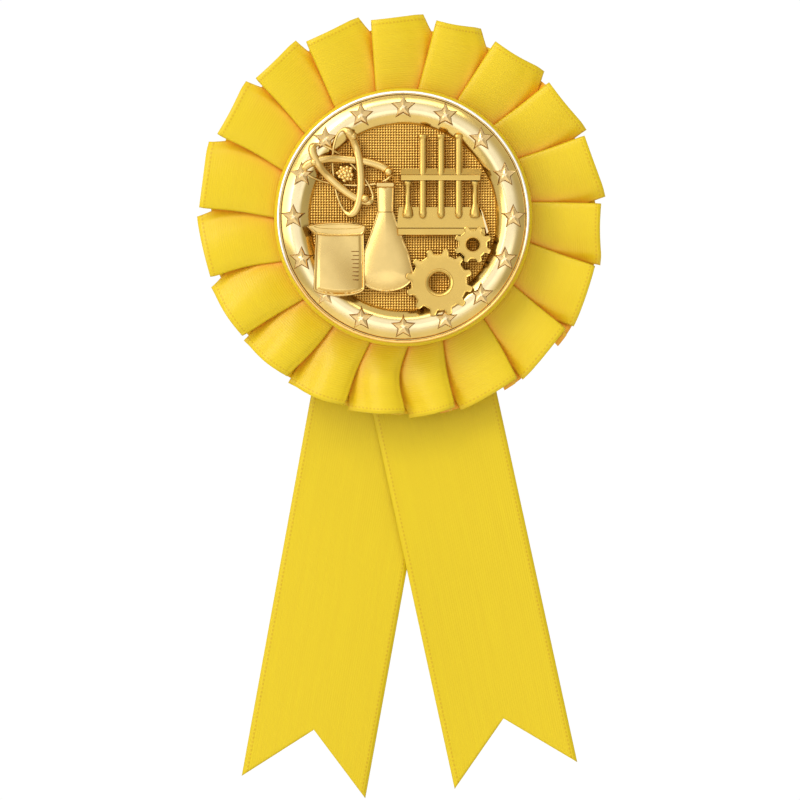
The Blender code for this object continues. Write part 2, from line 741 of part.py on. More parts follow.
def pin_rivet():
    """A turned rivet with a head outside each ear. Its axis runs up the face."""
    half = PIN_EYE_WIDTH / 2 + RUNNING + EAR_THICKNESS + RUNNING
    end = half + RIVET_HEAD_THICKNESS
    profile = [
        (0, end),
        (RIVET_HEAD_RADIUS, end),
        (RIVET_HEAD_RADIUS, half),
        (RIVET_RADIUS, half),
        (RIVET_RADIUS, -half),
        (RIVET_HEAD_RADIUS, -half),
        (RIVET_HEAD_RADIUS, -end),
        (0, -end),
    ]
    rivet = turned("pin_rivet", profile, STEEL, sides=SMALL_ROUND)
    rivet.location = (HINGE_X, PIN_CENTRE_Y, PIN_AXIS)
    rivet.rotation_euler.x = math.radians(90)


def pin_arm():
    """The sharpened wire, with the eye that turns on the rivet."""
    arm = mesh_object(
        "pin_arm",
        cylinder(PIN_EYE_RADIUS, PIN_EYE_WIDTH, (HINGE_X, PIN_CENTRE_Y, PIN_AXIS), "Y"),
        STEEL,
        smooth=math.radians(40),
    )
    end = CATCH_X + HOUSING_WIDTH / 2 + SLEEVE_FLANGE_WIDTH + PIN_OVERHANG
    start = HINGE_X + RIVET_RADIUS + RUNNING * 3
    length = end - start - PIN_POINT / 2
    shank = cylinder(
        PIN_WIRE_RADIUS,
        length,
        (start + length / 2, PIN_CENTRE_Y, PIN_AXIS),
        "X",
        sides=12,
    )
    point = cylinder(
        PIN_WIRE_RADIUS * 0.98,
        PIN_POINT,
        (end, PIN_CENTRE_Y, PIN_AXIS),
        "X",
        sides=12,
        end_radius=PIN_WIRE_RADIUS * 0.1,
    )
    bore = cylinder(
        RIVET_RADIUS + RUNNING,
        PIN_EYE_WIDTH * 2,
        (HINGE_X, PIN_CENTRE_Y, PIN_AXIS),
        "Y",
    )
    boolean(arm, "UNION", helper("arm_shank", shank), helper("arm_point", point))
    boolean(arm, "DIFFERENCE", helper("eye_bore", bore))


def catch():
    """The fixed housing on its stem, and the sleeve that turns inside to lock."""
    centre = (CATCH_X, PIN_CENTRE_Y, PIN_AXIS)
    housing = mesh_object(
        "catch_housing", cylinder(HOUSING_RADIUS, HOUSING_WIDTH, centre, "X"), STEEL
    )
    stem_top = PIN_AXIS + (HOUSING_BORE + HOUSING_RADIUS) / 2
    stem_length = PIN_BASE[1] - GAP / 2 - stem_top
    stem = cylinder(
        HOUSING_WALL,
        stem_length,
        (CATCH_X, PIN_CENTRE_Y, stem_top + stem_length / 2),
        sides=16,
    )
    bore = cylinder(HOUSING_BORE, HOUSING_WIDTH * 2, centre, "X")
    boolean(housing, "UNION", helper("housing_stem", stem))
    boolean(housing, "DIFFERENCE", helper("housing_bore", bore))
    wire_slot = 2 * (PIN_WIRE_RADIUS + SLOT_CLEARANCE)
    wide_slot = wire_slot + 2 * GAP
    boolean(
        housing,
        "DIFFERENCE",
        slot_cut("housing_slot", wide_slot, HOUSING_RADIUS, HOUSING_WIDTH),
    )

    half = HOUSING_WIDTH / 2 + RUNNING
    end = half + SLEEVE_FLANGE_WIDTH
    flange = SLEEVE_RADIUS + SLEEVE_FLANGE
    profile = [
        (flange, end),
        (flange, half),
        (SLEEVE_RADIUS, half),
        (SLEEVE_RADIUS, -half),
        (flange, -half),
        (flange, -end),
        (SLEEVE_BORE_RADIUS, -end),
        (SLEEVE_BORE_RADIUS, end),
    ]
    sleeve = turned("catch_sleeve", profile, STEEL, sides=SMALL_ROUND)
    sleeve.location = centre
    sleeve.rotation_euler.y = math.radians(90)
    tab_width = 2 * PIN_WIRE_RADIUS
    tab = box(
        SLEEVE_FLANGE_WIDTH * 0.8,
        SLEEVE_TAB + SLEEVE_FLANGE,
        tab_width,
        (
            CATCH_X + half + SLEEVE_FLANGE_WIDTH / 2,
            PIN_CENTRE_Y - SLEEVE_RADIUS - (SLEEVE_TAB + SLEEVE_FLANGE) / 2,
            PIN_AXIS,
        ),
    )
    boolean(sleeve, "UNION", helper("sleeve_tab", tab))
    boolean(
        sleeve, "DIFFERENCE", slot_cut("sleeve_slot", wire_slot, flange, 2 * end)
    )


def bar_pin():
    plate(
        "pin_pad",
        [
            (x * (PIN_BASE_LENGTH / 2 - GAP), PIN_CENTRE_Y + y * (PIN_BASE_WIDTH / 2 - GAP))
            for x, y in ((-1, -1), (1, -1), (1, 1), (-1, 1))
        ],
        PIN_PAD,
        FOAM,
    )
    pin_base()
    pin_rivet()
    pin_arm()
    catch()


rosette_ribbon()
gathering_thread()
tails_and_staples(cards())
button()
medal()
bar_pin()
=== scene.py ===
import math

import bmesh
import bpy
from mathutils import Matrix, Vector


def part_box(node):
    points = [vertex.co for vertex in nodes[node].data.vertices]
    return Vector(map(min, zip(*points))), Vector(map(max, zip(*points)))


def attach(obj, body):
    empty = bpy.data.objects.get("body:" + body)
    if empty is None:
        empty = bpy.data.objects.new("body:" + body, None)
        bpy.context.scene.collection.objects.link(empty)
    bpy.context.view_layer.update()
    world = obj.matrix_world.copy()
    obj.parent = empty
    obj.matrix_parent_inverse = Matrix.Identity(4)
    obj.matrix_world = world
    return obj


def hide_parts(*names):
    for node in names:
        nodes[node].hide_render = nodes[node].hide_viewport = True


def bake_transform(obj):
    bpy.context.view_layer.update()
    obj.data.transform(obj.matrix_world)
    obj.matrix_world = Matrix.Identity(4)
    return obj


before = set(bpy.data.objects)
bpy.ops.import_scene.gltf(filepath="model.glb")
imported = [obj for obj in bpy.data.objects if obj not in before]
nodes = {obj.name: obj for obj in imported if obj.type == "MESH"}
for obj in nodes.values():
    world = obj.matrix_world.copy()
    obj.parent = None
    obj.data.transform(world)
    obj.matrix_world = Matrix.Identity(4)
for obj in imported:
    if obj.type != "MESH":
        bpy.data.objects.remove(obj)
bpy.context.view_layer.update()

# ---- pleated ribbon ----
# One length of 25 mm yellow satin ribbon, laid by hand in nineteen knife pleats round a
# card and drawn in at its inner edge by a thread. Each pleat's left fold lies over the
# pleat before it, and the pleats stand open at their outer edge.

MM = 0.001
RIBBON_WIDTH = 25.4 * MM
RIBBON_GAUGE = 0.22 * MM
PLEATS = 19
PITCH = 360 / PLEATS
PLEAT_STRIP = 20.0 * MM  # ribbon in one pleat
PLEAT_LEAN = 4.6  # degrees that a fold leans clockwise from the inner edge to the outer
PLEAT_INNER = 15.2 * MM
FOLD_REACH = 40.4 * MM  # a fold's outer corner
FOLD_HEIGHT = 8.5  # a fold over the back of the object, at its inner edge, in mm
FIRST_FOLD = 9.9  # degrees from the top to the first fold's outer corner
FACE_RISE = 0.9 * MM  # its right corner over its left
CARD_REST = 5.3 * MM  # a face's hidden end rests on the pleat card
HIDDEN_LAP = 9.0  # degrees of a face under the next one, at the inner edge
LAP_ENDS = 0.86  # the share of the width, from the inner edge, where the notch opens
FACE_ENDS = 0.7  # the share of a pleat's ribbon that is its face
# Pleats are laid by hand: degrees that each fold strays from an even spacing, and
# the degrees of open notch between a face's right corner and the next fold.
FOLD_STRAY = (
    -0.2, -1.1, -0.5, -0.9, 0.4, -0.3, 0.9, 2.2, 3.4, -0.6, -1.8, -2.0, -3.5, -3.2, -2.2,
    0.2, 0.4, -0.8, -0.1,
)  # fmt: skip
NOTCH_WIDTH = (
    5.4, 3.4, 1.5, 2.1, 0.8, 2.0, 1.2, 1.5, 1.6, 1.6, 1.5, 1.4, 3.0, 2.7, 3.0, 2.5, 2.5,
    3.5, 4.1,
)  # fmt: skip
PLEAT_LIFT = (
    0.1, -0.2, 0.2, 0.0, -0.1, 0.2, 0.1, -0.2, 0.0, 0.2, -0.1, 0.1, 0.2, -0.2, 0.0, 0.1,
    -0.1, 0.2, 0.0,
)  # fmt: skip
# How far, in millimetres, a face's outer edge dips between its corners, and how far its
# middle stands up.
FACE_DIP = (
    0.3, 0.5, 0.4, 0.3, 0.5, 0.1, 0.2, 0.1, -0.2, -0.1, -0.4, -0.3, -0.2, 0.1, 0.3, 0.4,
    0.3, 0.3, 0.2,
)  # fmt: skip
FACE_BELLY = (
    0.3, 0.4, 0.3, 0.2, 0.2, 0.2, 0.3, 0.5, 1.0, 1.3, 1.2, 1.2, 1.0, 0.5, 0.3, 0.3, 0.2,
    0.2, 0.3,
)  # fmt: skip
# The layer under a fold puckers out past the next face's edge on some pleats: its
# reach in millimetres, and the degrees that it runs on under that face.
UNDER_REACH = (
    38.6, 39.7, 38.6, 39.3, 40.2, 41.1, 41.1, 40.9, 40.6, 40.6, 40.4, 40.1, 39.0, 38.6,
    38.4, 38.3, 38.3, 38.3, 38.3,
)  # fmt: skip
UNDER_RUN = (
    0.4, 0.4, 1.5, 4.0, 4.5, 5.0, 4.6, 4.2, 3.5, 3.0, 3.5, 4.0, 1.0, 0.5, 0.4, 0.4, 0.4,
    0.4, 0.4,
)  # fmt: skip
# How far, in millimetres, each pleat is drawn in towards the middle, or let out.
DRAWN_IN = (
    0.1, 0.3, 0.3, 0.3, 0.4, 0.5, 0.7, 0.7, 0.8, 0.9, 0.7, 0.7, 0.1, -0.3, -0.8, -0.7,
    -0.5, -0.1, 0.1,
)  # fmt: skip


def linear(hex_colour):
    """An sRGB hex colour as linear RGBA."""
    parts = [int(hex_colour[i : i + 2], 16) / 255 for i in (1, 3, 5)]
    low_high = [c / 12.92 if c <= 0.04045 else ((c + 0.055) / 1.055) ** 2.4 for c in parts]
    return (*low_high, 1)


def add_node(tree, kind, inputs=None, **settings):
    """Adds one shader node. An input is a value, the socket that feeds it, or the node
    whose first output does."""
    made = tree.nodes.new("ShaderNode" + kind)
    for name, value in settings.items():
        setattr(made, name, value)
    for key, value in (inputs or {}).items():
        if isinstance(value, bpy.types.Node):
            value = value.outputs[0]
        if isinstance(value, bpy.types.NodeSocket):
            tree.links.new(value, made.inputs[key])
        else:
            made.inputs[key].default_value = value
    return made


def new_finish(name, hex_colour, roughness, metallic=0.0):
    """(material, tree, shader) with a plain finish, for nodes to be added to."""
    finish = bpy.data.materials.new(name)
    finish.use_nodes = True
    tree = finish.node_tree
    shader = tree.nodes["Principled BSDF"]
    shader.inputs["Base Color"].default_value = linear(hex_colour)
    shader.inputs["Roughness"].default_value = roughness
    shader.inputs["Metallic"].default_value = metallic
    return finish, tree, shader


def woven_satin(name, hex_colour, shade_hex, fold_shade_hex, roughness, specular):
    """Polyester satin ribbon, yarn-dyed and heat-set. Its warp floats run along the
    ribbon, so it is smooth with a soft sheen and fine lengthwise ribs, and a line of
    small loops lies just inside each selvedge. The deep colour is painted shade, mixed
    in under and beside each fold and round the button, where the mesh asks for it."""
    finish, tree, shader = new_finish(name, hex_colour, roughness)
    shader.inputs["IOR"].default_value = 1.5
    shader.inputs["Specular IOR Level"].default_value = specular
    shader.inputs["Sheen Weight"].default_value = 0.06
    shader.inputs["Sheen Roughness"].default_value = 0.4
    flat = add_node(tree, "UVMap", uv_map="ribbon_m")
    along_across = add_node(tree, "SeparateXYZ", {0: flat})
    along, across = along_across.outputs[0], along_across.outputs[1]
    rib_pitch = 0.45 * MM  # warp yarns are 0.15 mm apart, drawn wider so that they show
    loop_pitch = 0.85 * MM
    loop_inset, loop_reach = 0.95 * MM, 0.16 * MM
    rib_turn = add_node(
        tree, "Math", {0: across, 1: 2 * math.pi / rib_pitch}, operation="MULTIPLY"
    )
    rib = add_node(tree, "Math", {0: rib_turn}, operation="SINE")
    # Slubs: uneven yarns, 1 mm across and 25 mm long.
    stretched = add_node(tree, "Mapping", {0: flat, "Scale": (40, 1000, 1)})
    slub = add_node(tree, "TexNoise", {"Vector": stretched, "Scale": 1.0, "Detail": 3.0})
    other_edge = add_node(tree, "Math", {0: RIBBON_WIDTH, 1: across}, operation="SUBTRACT")
    inset = add_node(tree, "Math", {0: across, 1: other_edge}, operation="MINIMUM")
    line = add_node(tree, "Math", {0: inset, 1: loop_inset, 2: loop_reach}, operation="COMPARE")
    loop_turn = add_node(
        tree, "Math", {0: along, 1: 2 * math.pi / loop_pitch}, operation="MULTIPLY"
    )
    loop = add_node(tree, "Math", {0: loop_turn}, operation="SINE")
    loop_on = add_node(tree, "Math", {0: loop, 1: -0.1}, operation="GREATER_THAN")
    stitch = add_node(tree, "Math", {0: line, 1: loop_on}, operation="MULTIPLY")
    tone = add_node(
        tree,
        "MapRange",
        {0: slub, "From Min": 0.3, "From Max": 0.7, "To Min": 0.0, "To Max": 0.12},
    )
    stitch_tone = add_node(tree, "Math", {0: stitch, 1: 0.6}, operation="MULTIPLY")
    shade = add_node(tree, "Math", {0: tone, 1: stitch_tone}, operation="ADD", use_clamp=True)
    colour = add_node(
        tree, "Mix", {0: shade, 6: linear(hex_colour), 7: linear(shade_hex)}, data_type="RGBA"
    )
    # Painted shade: the deep colour goes where the mesh marks a point as deep in a fold.
    fold_shade_mask = add_node(
        tree, "Attribute", attribute_name="painted_fold_shade", attribute_type="GEOMETRY"
    )
    fold_shaded = add_node(
        tree,
        "Mix",
        {0: fold_shade_mask.outputs["Fac"], 6: colour.outputs[2], 7: linear(fold_shade_hex)},
        data_type="RGBA",
    )
    tree.links.new(fold_shaded.outputs[2], shader.inputs["Base Color"])
    rib_part = add_node(tree, "Math", {0: rib, 1: 0.5}, operation="MULTIPLY")
    slub_part = add_node(tree, "Math", {0: slub, 1: 1.6, 2: rib_part}, operation="MULTIPLY_ADD")
    height = add_node(
        tree, "Math", {0: stitch, 1: -1.4, 2: slub_part}, operation="MULTIPLY_ADD"
    )
    bump = add_node(tree, "Bump", {"Height": height, "Strength": 0.6, "Distance": 0.03 * MM})
    tree.links.new(bump.outputs[0], shader.inputs["Normal"])
    return finish


def keep_flat_pattern(shape, flat_place):
    """Stores the UV map that the weave follows: flat_place gives a vertex's (along,
    across) on the flat cut, in metres."""
    layer = shape.loops.layers.uv.new("ribbon_m")
    for face in shape.faces:
        for corner in face.loops:
            corner[layer].uv = flat_place(corner.vert)


def in_scene(name, data):
    """A new object, linked into the scene."""
    made = bpy.data.objects.new(name, data)
    bpy.context.scene.collection.objects.link(made)
    return made


def new_piece(name, shape, body, finishes, smooth=None):
    """The bmesh as a piece that rides on a body, or on none. Edges sharper than smooth
    degrees stay hard; without it the whole piece is smooth."""
    mesh = bpy.data.meshes.new(name)
    shape.to_mesh(mesh)
    shape.free()
    mesh.shade_smooth()
    if smooth is not None:
        mesh.set_sharp_from_angle(angle=math.radians(smooth))
    for finish in finishes:
        mesh.materials.append(finish)
    made = in_scene(name, mesh)
    if body:
        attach(made, body)
    return made


def give_gauge(piece, gauge):
    """A sheet's real thickness, half to each side."""
    wall = piece.modifiers.new("gauge", "SOLIDIFY")
    wall.thickness = gauge
    wall.offset = 0


def ease(x, start, end):
    """0 before start, 1 after end, with a smooth rise between."""
    t = min(max((x - start) / (end - start), 0), 1)
    return t * t * (3 - 2 * t)


def through(knots, s):
    """The point at s on a smooth curve through knots of (s, value, value, ...)."""
    last = len(knots) - 1
    i = max(k for k in range(last) if knots[k][0] <= s or k == 0)
    near = (i - 1, i, i + 1, i + 2)
    before, start, end, after = (knots[min(max(k, 0), last)] for k in near)
    span = end[0] - start[0]
    t = (s - start[0]) / span
    values = []
    for a, b, c, d in zip(before[1:], start[1:], end[1:], after[1:]):
        lead = (c - a) / max(end[0] - before[0], 1e-9) * span
        trail = (d - b) / max(after[0] - start[0], 1e-9) * span
        values.append(
            (2 * t**3 - 3 * t**2 + 1) * b
            + (t**3 - 2 * t**2 + t) * lead
            + (3 * t**2 - 2 * t**3) * c
            + (t**3 - t**2) * trail
        )
    return values


# How far, in degrees, each fold bows clockwise between its ends.
FOLD_BOW = (
    0.3, 0.2, 0.5, 0.4, 0.2, 0.4, 0.4, -0.3, 0.9, 3.2, 1.0, -0.6, 0.5, 1.2, 0.8, 0.9, 0.6,
    0.3, 0.2,
)  # fmt: skip


def fold_angle(i, v):
    """Where pleat i's top fold lies, in degrees clockwise from the top."""
    turns, place = divmod(i, PLEATS)
    at_edge = FIRST_FOLD + PITCH * place + FOLD_STRAY[place] + 360 * turns
    bow = FOLD_BOW[place] * math.sin(math.pi * min(max((v - 0.35) / 0.62, 0), 1)) ** 1.3
    return at_edge - PLEAT_LEAN * (1 - v) * (1.25 - 0.25 * v) + bow


def fold_height(i, v):
    """How high pleat i's top fold stands, from the inner edge to the outer."""
    return (FOLD_HEIGHT + 0.9 * v + 0.9 * ease(v, 0.45, 1) + PLEAT_LIFT[i % PLEATS] * v) * MM


def pleat_point(s, v, i):
    """A point of pleat i: s runs along the ribbon from one top fold to the next, and v
    across it from the inner edge to the outer. Gives (degrees, height, reach)."""
    top, next_top = fold_height(i, v), fold_height(i + 1, v)
    low = top - (1.3 + 1.3 * ease(v, 0.3, 1)) * MM
    left = fold_angle(i, v)
    next_left = fold_angle(i + 1, v)
    lap = HIDDEN_LAP * (1 - (v / LAP_ENDS) ** 1.6) if v < LAP_ENDS else 0
    notch = NOTCH_WIDTH[i] * max(0.0, (v - LAP_ENDS) / (1 - LAP_ENDS)) ** 0.85
    right = next_left + lap - notch
    radius = PLEAT_INNER + (FOLD_REACH - PLEAT_INNER) * v
    mm = math.degrees(MM / radius)  # one millimetre along the arc
    face = right - left
    behind = ease(v, 0.8, 0.93)
    sink = max(low - CARD_REST, 0) * (1 - ease(v, 0.5, 0.8))
    end_low = low - sink
    turn_height = end_low + (0.3 - 0.9 * behind) * MM
    under = (UNDER_REACH[i] - DRAWN_IN[i]) * MM
    last_under = (UNDER_REACH[i - 1] - DRAWN_IN[i - 1]) * MM
    run = UNDER_RUN[i] * behind + 1.1 * mm * (1 - behind)
    belly = FACE_BELLY[i] * ease(v, 0.42, 0.75) * MM
    shown = (next_left - left) / face  # the part of the face that no other covers

    def face_height(t):
        rise = belly * math.sin(math.pi * min(t * 1.25, 1)) ** 1.2
        under_next = sink * ease(t, shown, 1)
        slope = (top - low) * (0.2 * t + 0.8 * t * t)
        return top + 0.32 * MM * ease(t, 0, 0.16) + rise - slope - under_next

    def reach(t):
        dip = FACE_DIP[i] * MM * math.sin(math.pi * min(t * 1.15, 1))
        return FOLD_REACH - DRAWN_IN[i] * MM - dip + FACE_RISE * t**1.5

    knots = [
        (0.00, left + 0.9 * mm, top - 0.6 * MM, last_under),
        (0.02, left + 0.15 * mm, top - 0.35 * MM, reach(0) - 0.3 * MM),
        (0.035, left, top - 0.15 * MM, reach(0)),
        (0.06, left + 0.4 * mm, top + 0.05 * MM, reach(0.03)),
    ]
    for t in (0.12, 0.25, 0.4, 0.55, 0.7, 0.85):
        knots.append((0.06 + 0.64 * t, left + face * t, face_height(t), reach(t)))
    knots += [
        (0.69, right - 0.25 * mm, end_low + 0.02 * MM, reach(0.99)),
        (0.705, right, end_low - 0.05 * MM, reach(1)),
        (0.72, right - 0.25 * mm, turn_height, reach(1) - 0.4 * MM),
        (0.75, right - 0.8 * mm * behind, turn_height - 0.5 * MM * behind, under - 0.2 * MM),
        (
            0.83,
            (right + next_left) / 2 + 0.3 * mm,
            (turn_height + next_top) / 2 - (0.5 + 1.1 * behind) * MM,
            under - 0.1 * MM,
        ),
        (0.91, next_left + run, next_top - (0.7 + 1.3 * behind) * MM, under),
        (0.97, next_left + 0.5 * run + 0.6 * mm, next_top - (0.7 + 0.6 * behind) * MM, under),
        (1.00, next_left + 0.9 * mm, next_top - 0.6 * MM, under),
    ]
    return through(knots, s)


# The under layers of these pleats get heavier painted shade where they show in the notch.
SHOWN_UNDERLAYERS = (1, 5, 6, 7)  # pleats whose under layer shows in the notch


def painted_fold_shade(s, v, i, degrees):
    """How much painted shade a point of pleat i gets, from 0 to 1: most under and beside
    the next fold, some on its own fold's edge and on the under layers, and a little round
    the button, which stands in for the medal's shadow."""
    radius = PLEAT_INNER + (FOLD_REACH - PLEAT_INNER) * v
    if s > FACE_ENDS:
        return 0.7 if s < 0.75 or i in SHOWN_UNDERLAYERS else 0.2
    if s < 0.03:
        return 0.3
    away = math.radians(fold_angle(i + 1, v) - degrees) * radius / MM
    from_button = max(radius / MM - 25.9, 0)
    button_shade = 0.3 * math.exp(-from_button / 1.1)
    crossed = 1 - ease(v, 0.84, 0.97)
    if away < 0:
        return crossed * (0.15 + 0.75 * math.exp(away / 0.8))
    beside = 0.75 * math.exp(-away / 0.6) + 0.25 * math.exp(-away / 2.6)
    return min(beside * (0.4 + 0.6 * crossed) + button_shade, 1)


def at_face(degrees, radius, height):
    """A point on the front of the object: clockwise from the top, out from the
    middle, and height towards the viewer."""
    turn = math.radians(degrees)
    return Vector((radius * math.sin(turn), -height, radius * math.cos(turn)))


# Its third colour is the painted shade deep in the folds.
YELLOW_SATIN = woven_satin(
    "yellow_polyester_satin", "#D7BA0E", "#C79A0A", "#E8942A", 0.36, 0.32
)

columns, rows = 60, 28  # of faces in one pleat
shape = bmesh.new()
bmesh.ops.create_grid(shape, x_segments=PLEATS * columns, y_segments=rows, size=0.5)
strip = PLEATS * PLEAT_STRIP
keep_flat_pattern(
    shape, lambda vert: ((vert.co.x + 0.5) * strip, (vert.co.y + 0.5) * RIBBON_WIDTH)
)
# Each point keeps how much painted shade it gets in the folds.
depth = shape.verts.layers.float.new("painted_fold_shade")
for vert in shape.verts:
    step = round((vert.co.x + 0.5) * PLEATS * columns)
    v = vert.co.y + 0.5
    wraps, pleat = divmod(step // columns, PLEATS)
    s = step % columns / columns
    degrees, height, reach = pleat_point(s, v, pleat)
    vert[depth] = painted_fold_shade(s, v, pleat, degrees)
    radius = PLEAT_INNER + (reach - PLEAT_INNER) * v
    vert.co = at_face(degrees + 360 * wraps, radius, height)
bmesh.ops.remove_doubles(shape, verts=shape.verts, dist=0.002 * MM)
rosette = new_piece("rosette_pleats", shape, "rosette", [YELLOW_SATIN])
give_gauge(rosette, RIBBON_GAUGE)
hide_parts("rosette_ribbon")

# ---- tails ----
# Two lengths of satin ribbon with swallow-tail ends, cut with hot shears and stapled to
# the pleat card where they cross. The right one lies in front. They were never creased,
# so they are a touch duller than the pleats; their deeper yellow is painted shade.

# A darker copy of the pleats' yellow satin: painted shade.
SHADED_TAIL_SATIN = woven_satin(
    "yellow_polyester_satin_tail_shaded", "#D1B610", "#BF940C", "#D07E1E", 0.42, 0.26
)
TAIL_PIVOT = Vector((-0.4 * MM, -6.3 * MM))
TAIL_TOP = 9.0 * MM  # the part over the pivot, under the pleats
TAIL_NOTCH = 11.8 * MM
TAIL_WAVE = 62 * MM  # half the length of the slow wave that heat-setting leaves
BEND_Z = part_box("tail_front")[1][2]


def tail(name, cad_names, lean, length, height, billow):
    """A hanging ribbon. lean is degrees from straight down, towards +X. billow is how
    far its middle stands away from the flat, in metres."""
    shape = bmesh.new()
    bmesh.ops.create_grid(shape, x_segments=150, y_segments=24, size=0.5)
    full = TAIL_TOP + length
    half = RIBBON_WIDTH / 2
    flat_of = {}
    for vert in shape.verts:
        across = vert.co.y * RIBBON_WIDTH
        end = full - TAIL_NOTCH * (1 - abs(across) / half)
        along = (vert.co.x + 0.5) * end
        flat_of[vert] = (along, across + half)
        # Heat-set ribbon keeps a slight curl across and a slow wave along.
        down = along - TAIL_TOP
        free = ease(down, 30 * MM, 75 * MM)
        wave = math.sin(down / TAIL_WAVE * math.pi)
        curl = (across / half) ** 2 * 0.5 - 0.25
        depth = height + free * (billow * wave + billow * 0.6 * curl)
        turn = math.radians(lean)
        x = TAIL_PIVOT.x + math.sin(turn) * down + math.cos(turn) * across
        z = TAIL_PIVOT.y - math.cos(turn) * down + math.sin(turn) * across
        vert.co = (x, -depth, z)
    keep_flat_pattern(shape, lambda vert: flat_of[vert])
    made = new_piece(name, shape, None, [SHADED_TAIL_SATIN])
    give_gauge(made, RIBBON_GAUGE)
    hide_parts(*cad_names)
    start, end = (0, -height, BEND_Z + 2.5 * MM), (0, -height, BEND_Z - 2.5 * MM)
    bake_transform(made)


for name, body, cad_names, lean, length, billow in (
    ("front_tail_ribbon", "front_tail", ("tail_front", "tail_front_root"), 12.3, 109.0, 1.2),
    ("rear_tail_ribbon", "rear_tail", ("tail_rear", "tail_rear_root"), -10.3, 110.6, -1.2),
):
    middle = -sum(corner[1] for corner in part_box(cad_names[0])) / 2
    tail(name, cad_names, lean, length * MM, middle, billow * MM)

# ---- covered button ----
# A card disc covered with the same satin, drawn over its edge and glued behind. Only a
# thin ring of it shows round the medal.

BUTTON_RADIUS = 26.05 * MM
BUTTON_EDGE = 0.9 * MM  # how far in the rounded edge reaches
HEM_REACH = 5 * MM
button_low, button_high = -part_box("button_cover")[1][1], -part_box("button_cover")[0][1]


def turned(points, axis, sides):
    """A closed shape: a line of points spun once round an axis through the origin."""
    shape = bmesh.new()
    verts = [shape.verts.new(point) for point in points]
    edges = [shape.edges.new(pair) for pair in zip(verts, verts[1:])]
    bmesh.ops.spin(
        shape,
        geom=verts + edges,
        axis=axis,
        cent=(0, 0, 0),
        angle=2 * math.pi,
        steps=sides,
        use_merge=True,
    )
    bmesh.ops.remove_doubles(shape, verts=shape.verts, dist=0.001 * MM)
    bmesh.ops.recalc_face_normals(shape, faces=shape.faces)
    return shape


def lathe(profile, sides):
    """A shape turned about the axis through the medal. The profile is (radius, height)
    points, and height is towards the viewer."""
    return turned([(r, -h, 0) for r, h in profile], (0, 1, 0), sides)


middle = (button_low + button_high) / 2
half_height = (button_high - button_low) / 2 - 0.05 * MM
face_height = button_high - 0.1 * MM
profile = [(0, face_height), (BUTTON_RADIUS - 2 * BUTTON_EDGE, face_height)]
for step in range(9):
    turn = math.pi * step / 8
    radius = BUTTON_RADIUS - BUTTON_EDGE + BUTTON_EDGE * math.sin(turn)
    profile.append((radius, middle + half_height * math.cos(turn)))
profile += [
    (BUTTON_RADIUS - HEM_REACH, button_low + 0.1 * MM),
    (BUTTON_RADIUS - HEM_REACH - 0.2 * MM, button_low + 0.4 * MM),
    (BUTTON_RADIUS - 1.6 * MM, button_low + 0.5 * MM),
    (BUTTON_RADIUS - 1.6 * MM, button_high - 0.5 * MM),
    (0, button_high - 0.5 * MM),
]
shape = lathe(profile, 160)
keep_flat_pattern(shape, lambda vert: (vert.co.x + 0.1, vert.co.z - vert.co.y + 0.1))
button = new_piece("button_satin", shape, "rosette", [YELLOW_SATIN], smooth=50)
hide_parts("button_cover")

# ---- medal blank ----
# A two-inch insert stamped from thin aluminium and gold anodised: a rolled lip, a
# narrow channel, a round raised band and a sunk field inside it.

medal_back = -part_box("medal")[1][1]
LIP_RADIUS = 25.4 * MM
CHANNEL_RADIUS = 24.8 * MM
BAND_OUTER = 24.65 * MM
FIELD_RADIUS = 18.7 * MM
FIELD_HEIGHT = medal_back + 1.3 * MM
BAND_HEIGHT = medal_back + 3.0 * MM


def band_height(radius):
    """The height of the field, and of the round band outside it."""
    share = (radius - FIELD_RADIUS) / (BAND_OUTER - FIELD_RADIUS)
    if not 0 < share < 1:
        return FIELD_HEIGHT
    floor = FIELD_HEIGHT + 0.55 * MM * ease(share, 0, 1)
    round_part = math.sin(math.pi * share)
    return floor + (BAND_HEIGHT - floor) * (0.68 * round_part + 0.32 * round_part**0.5)


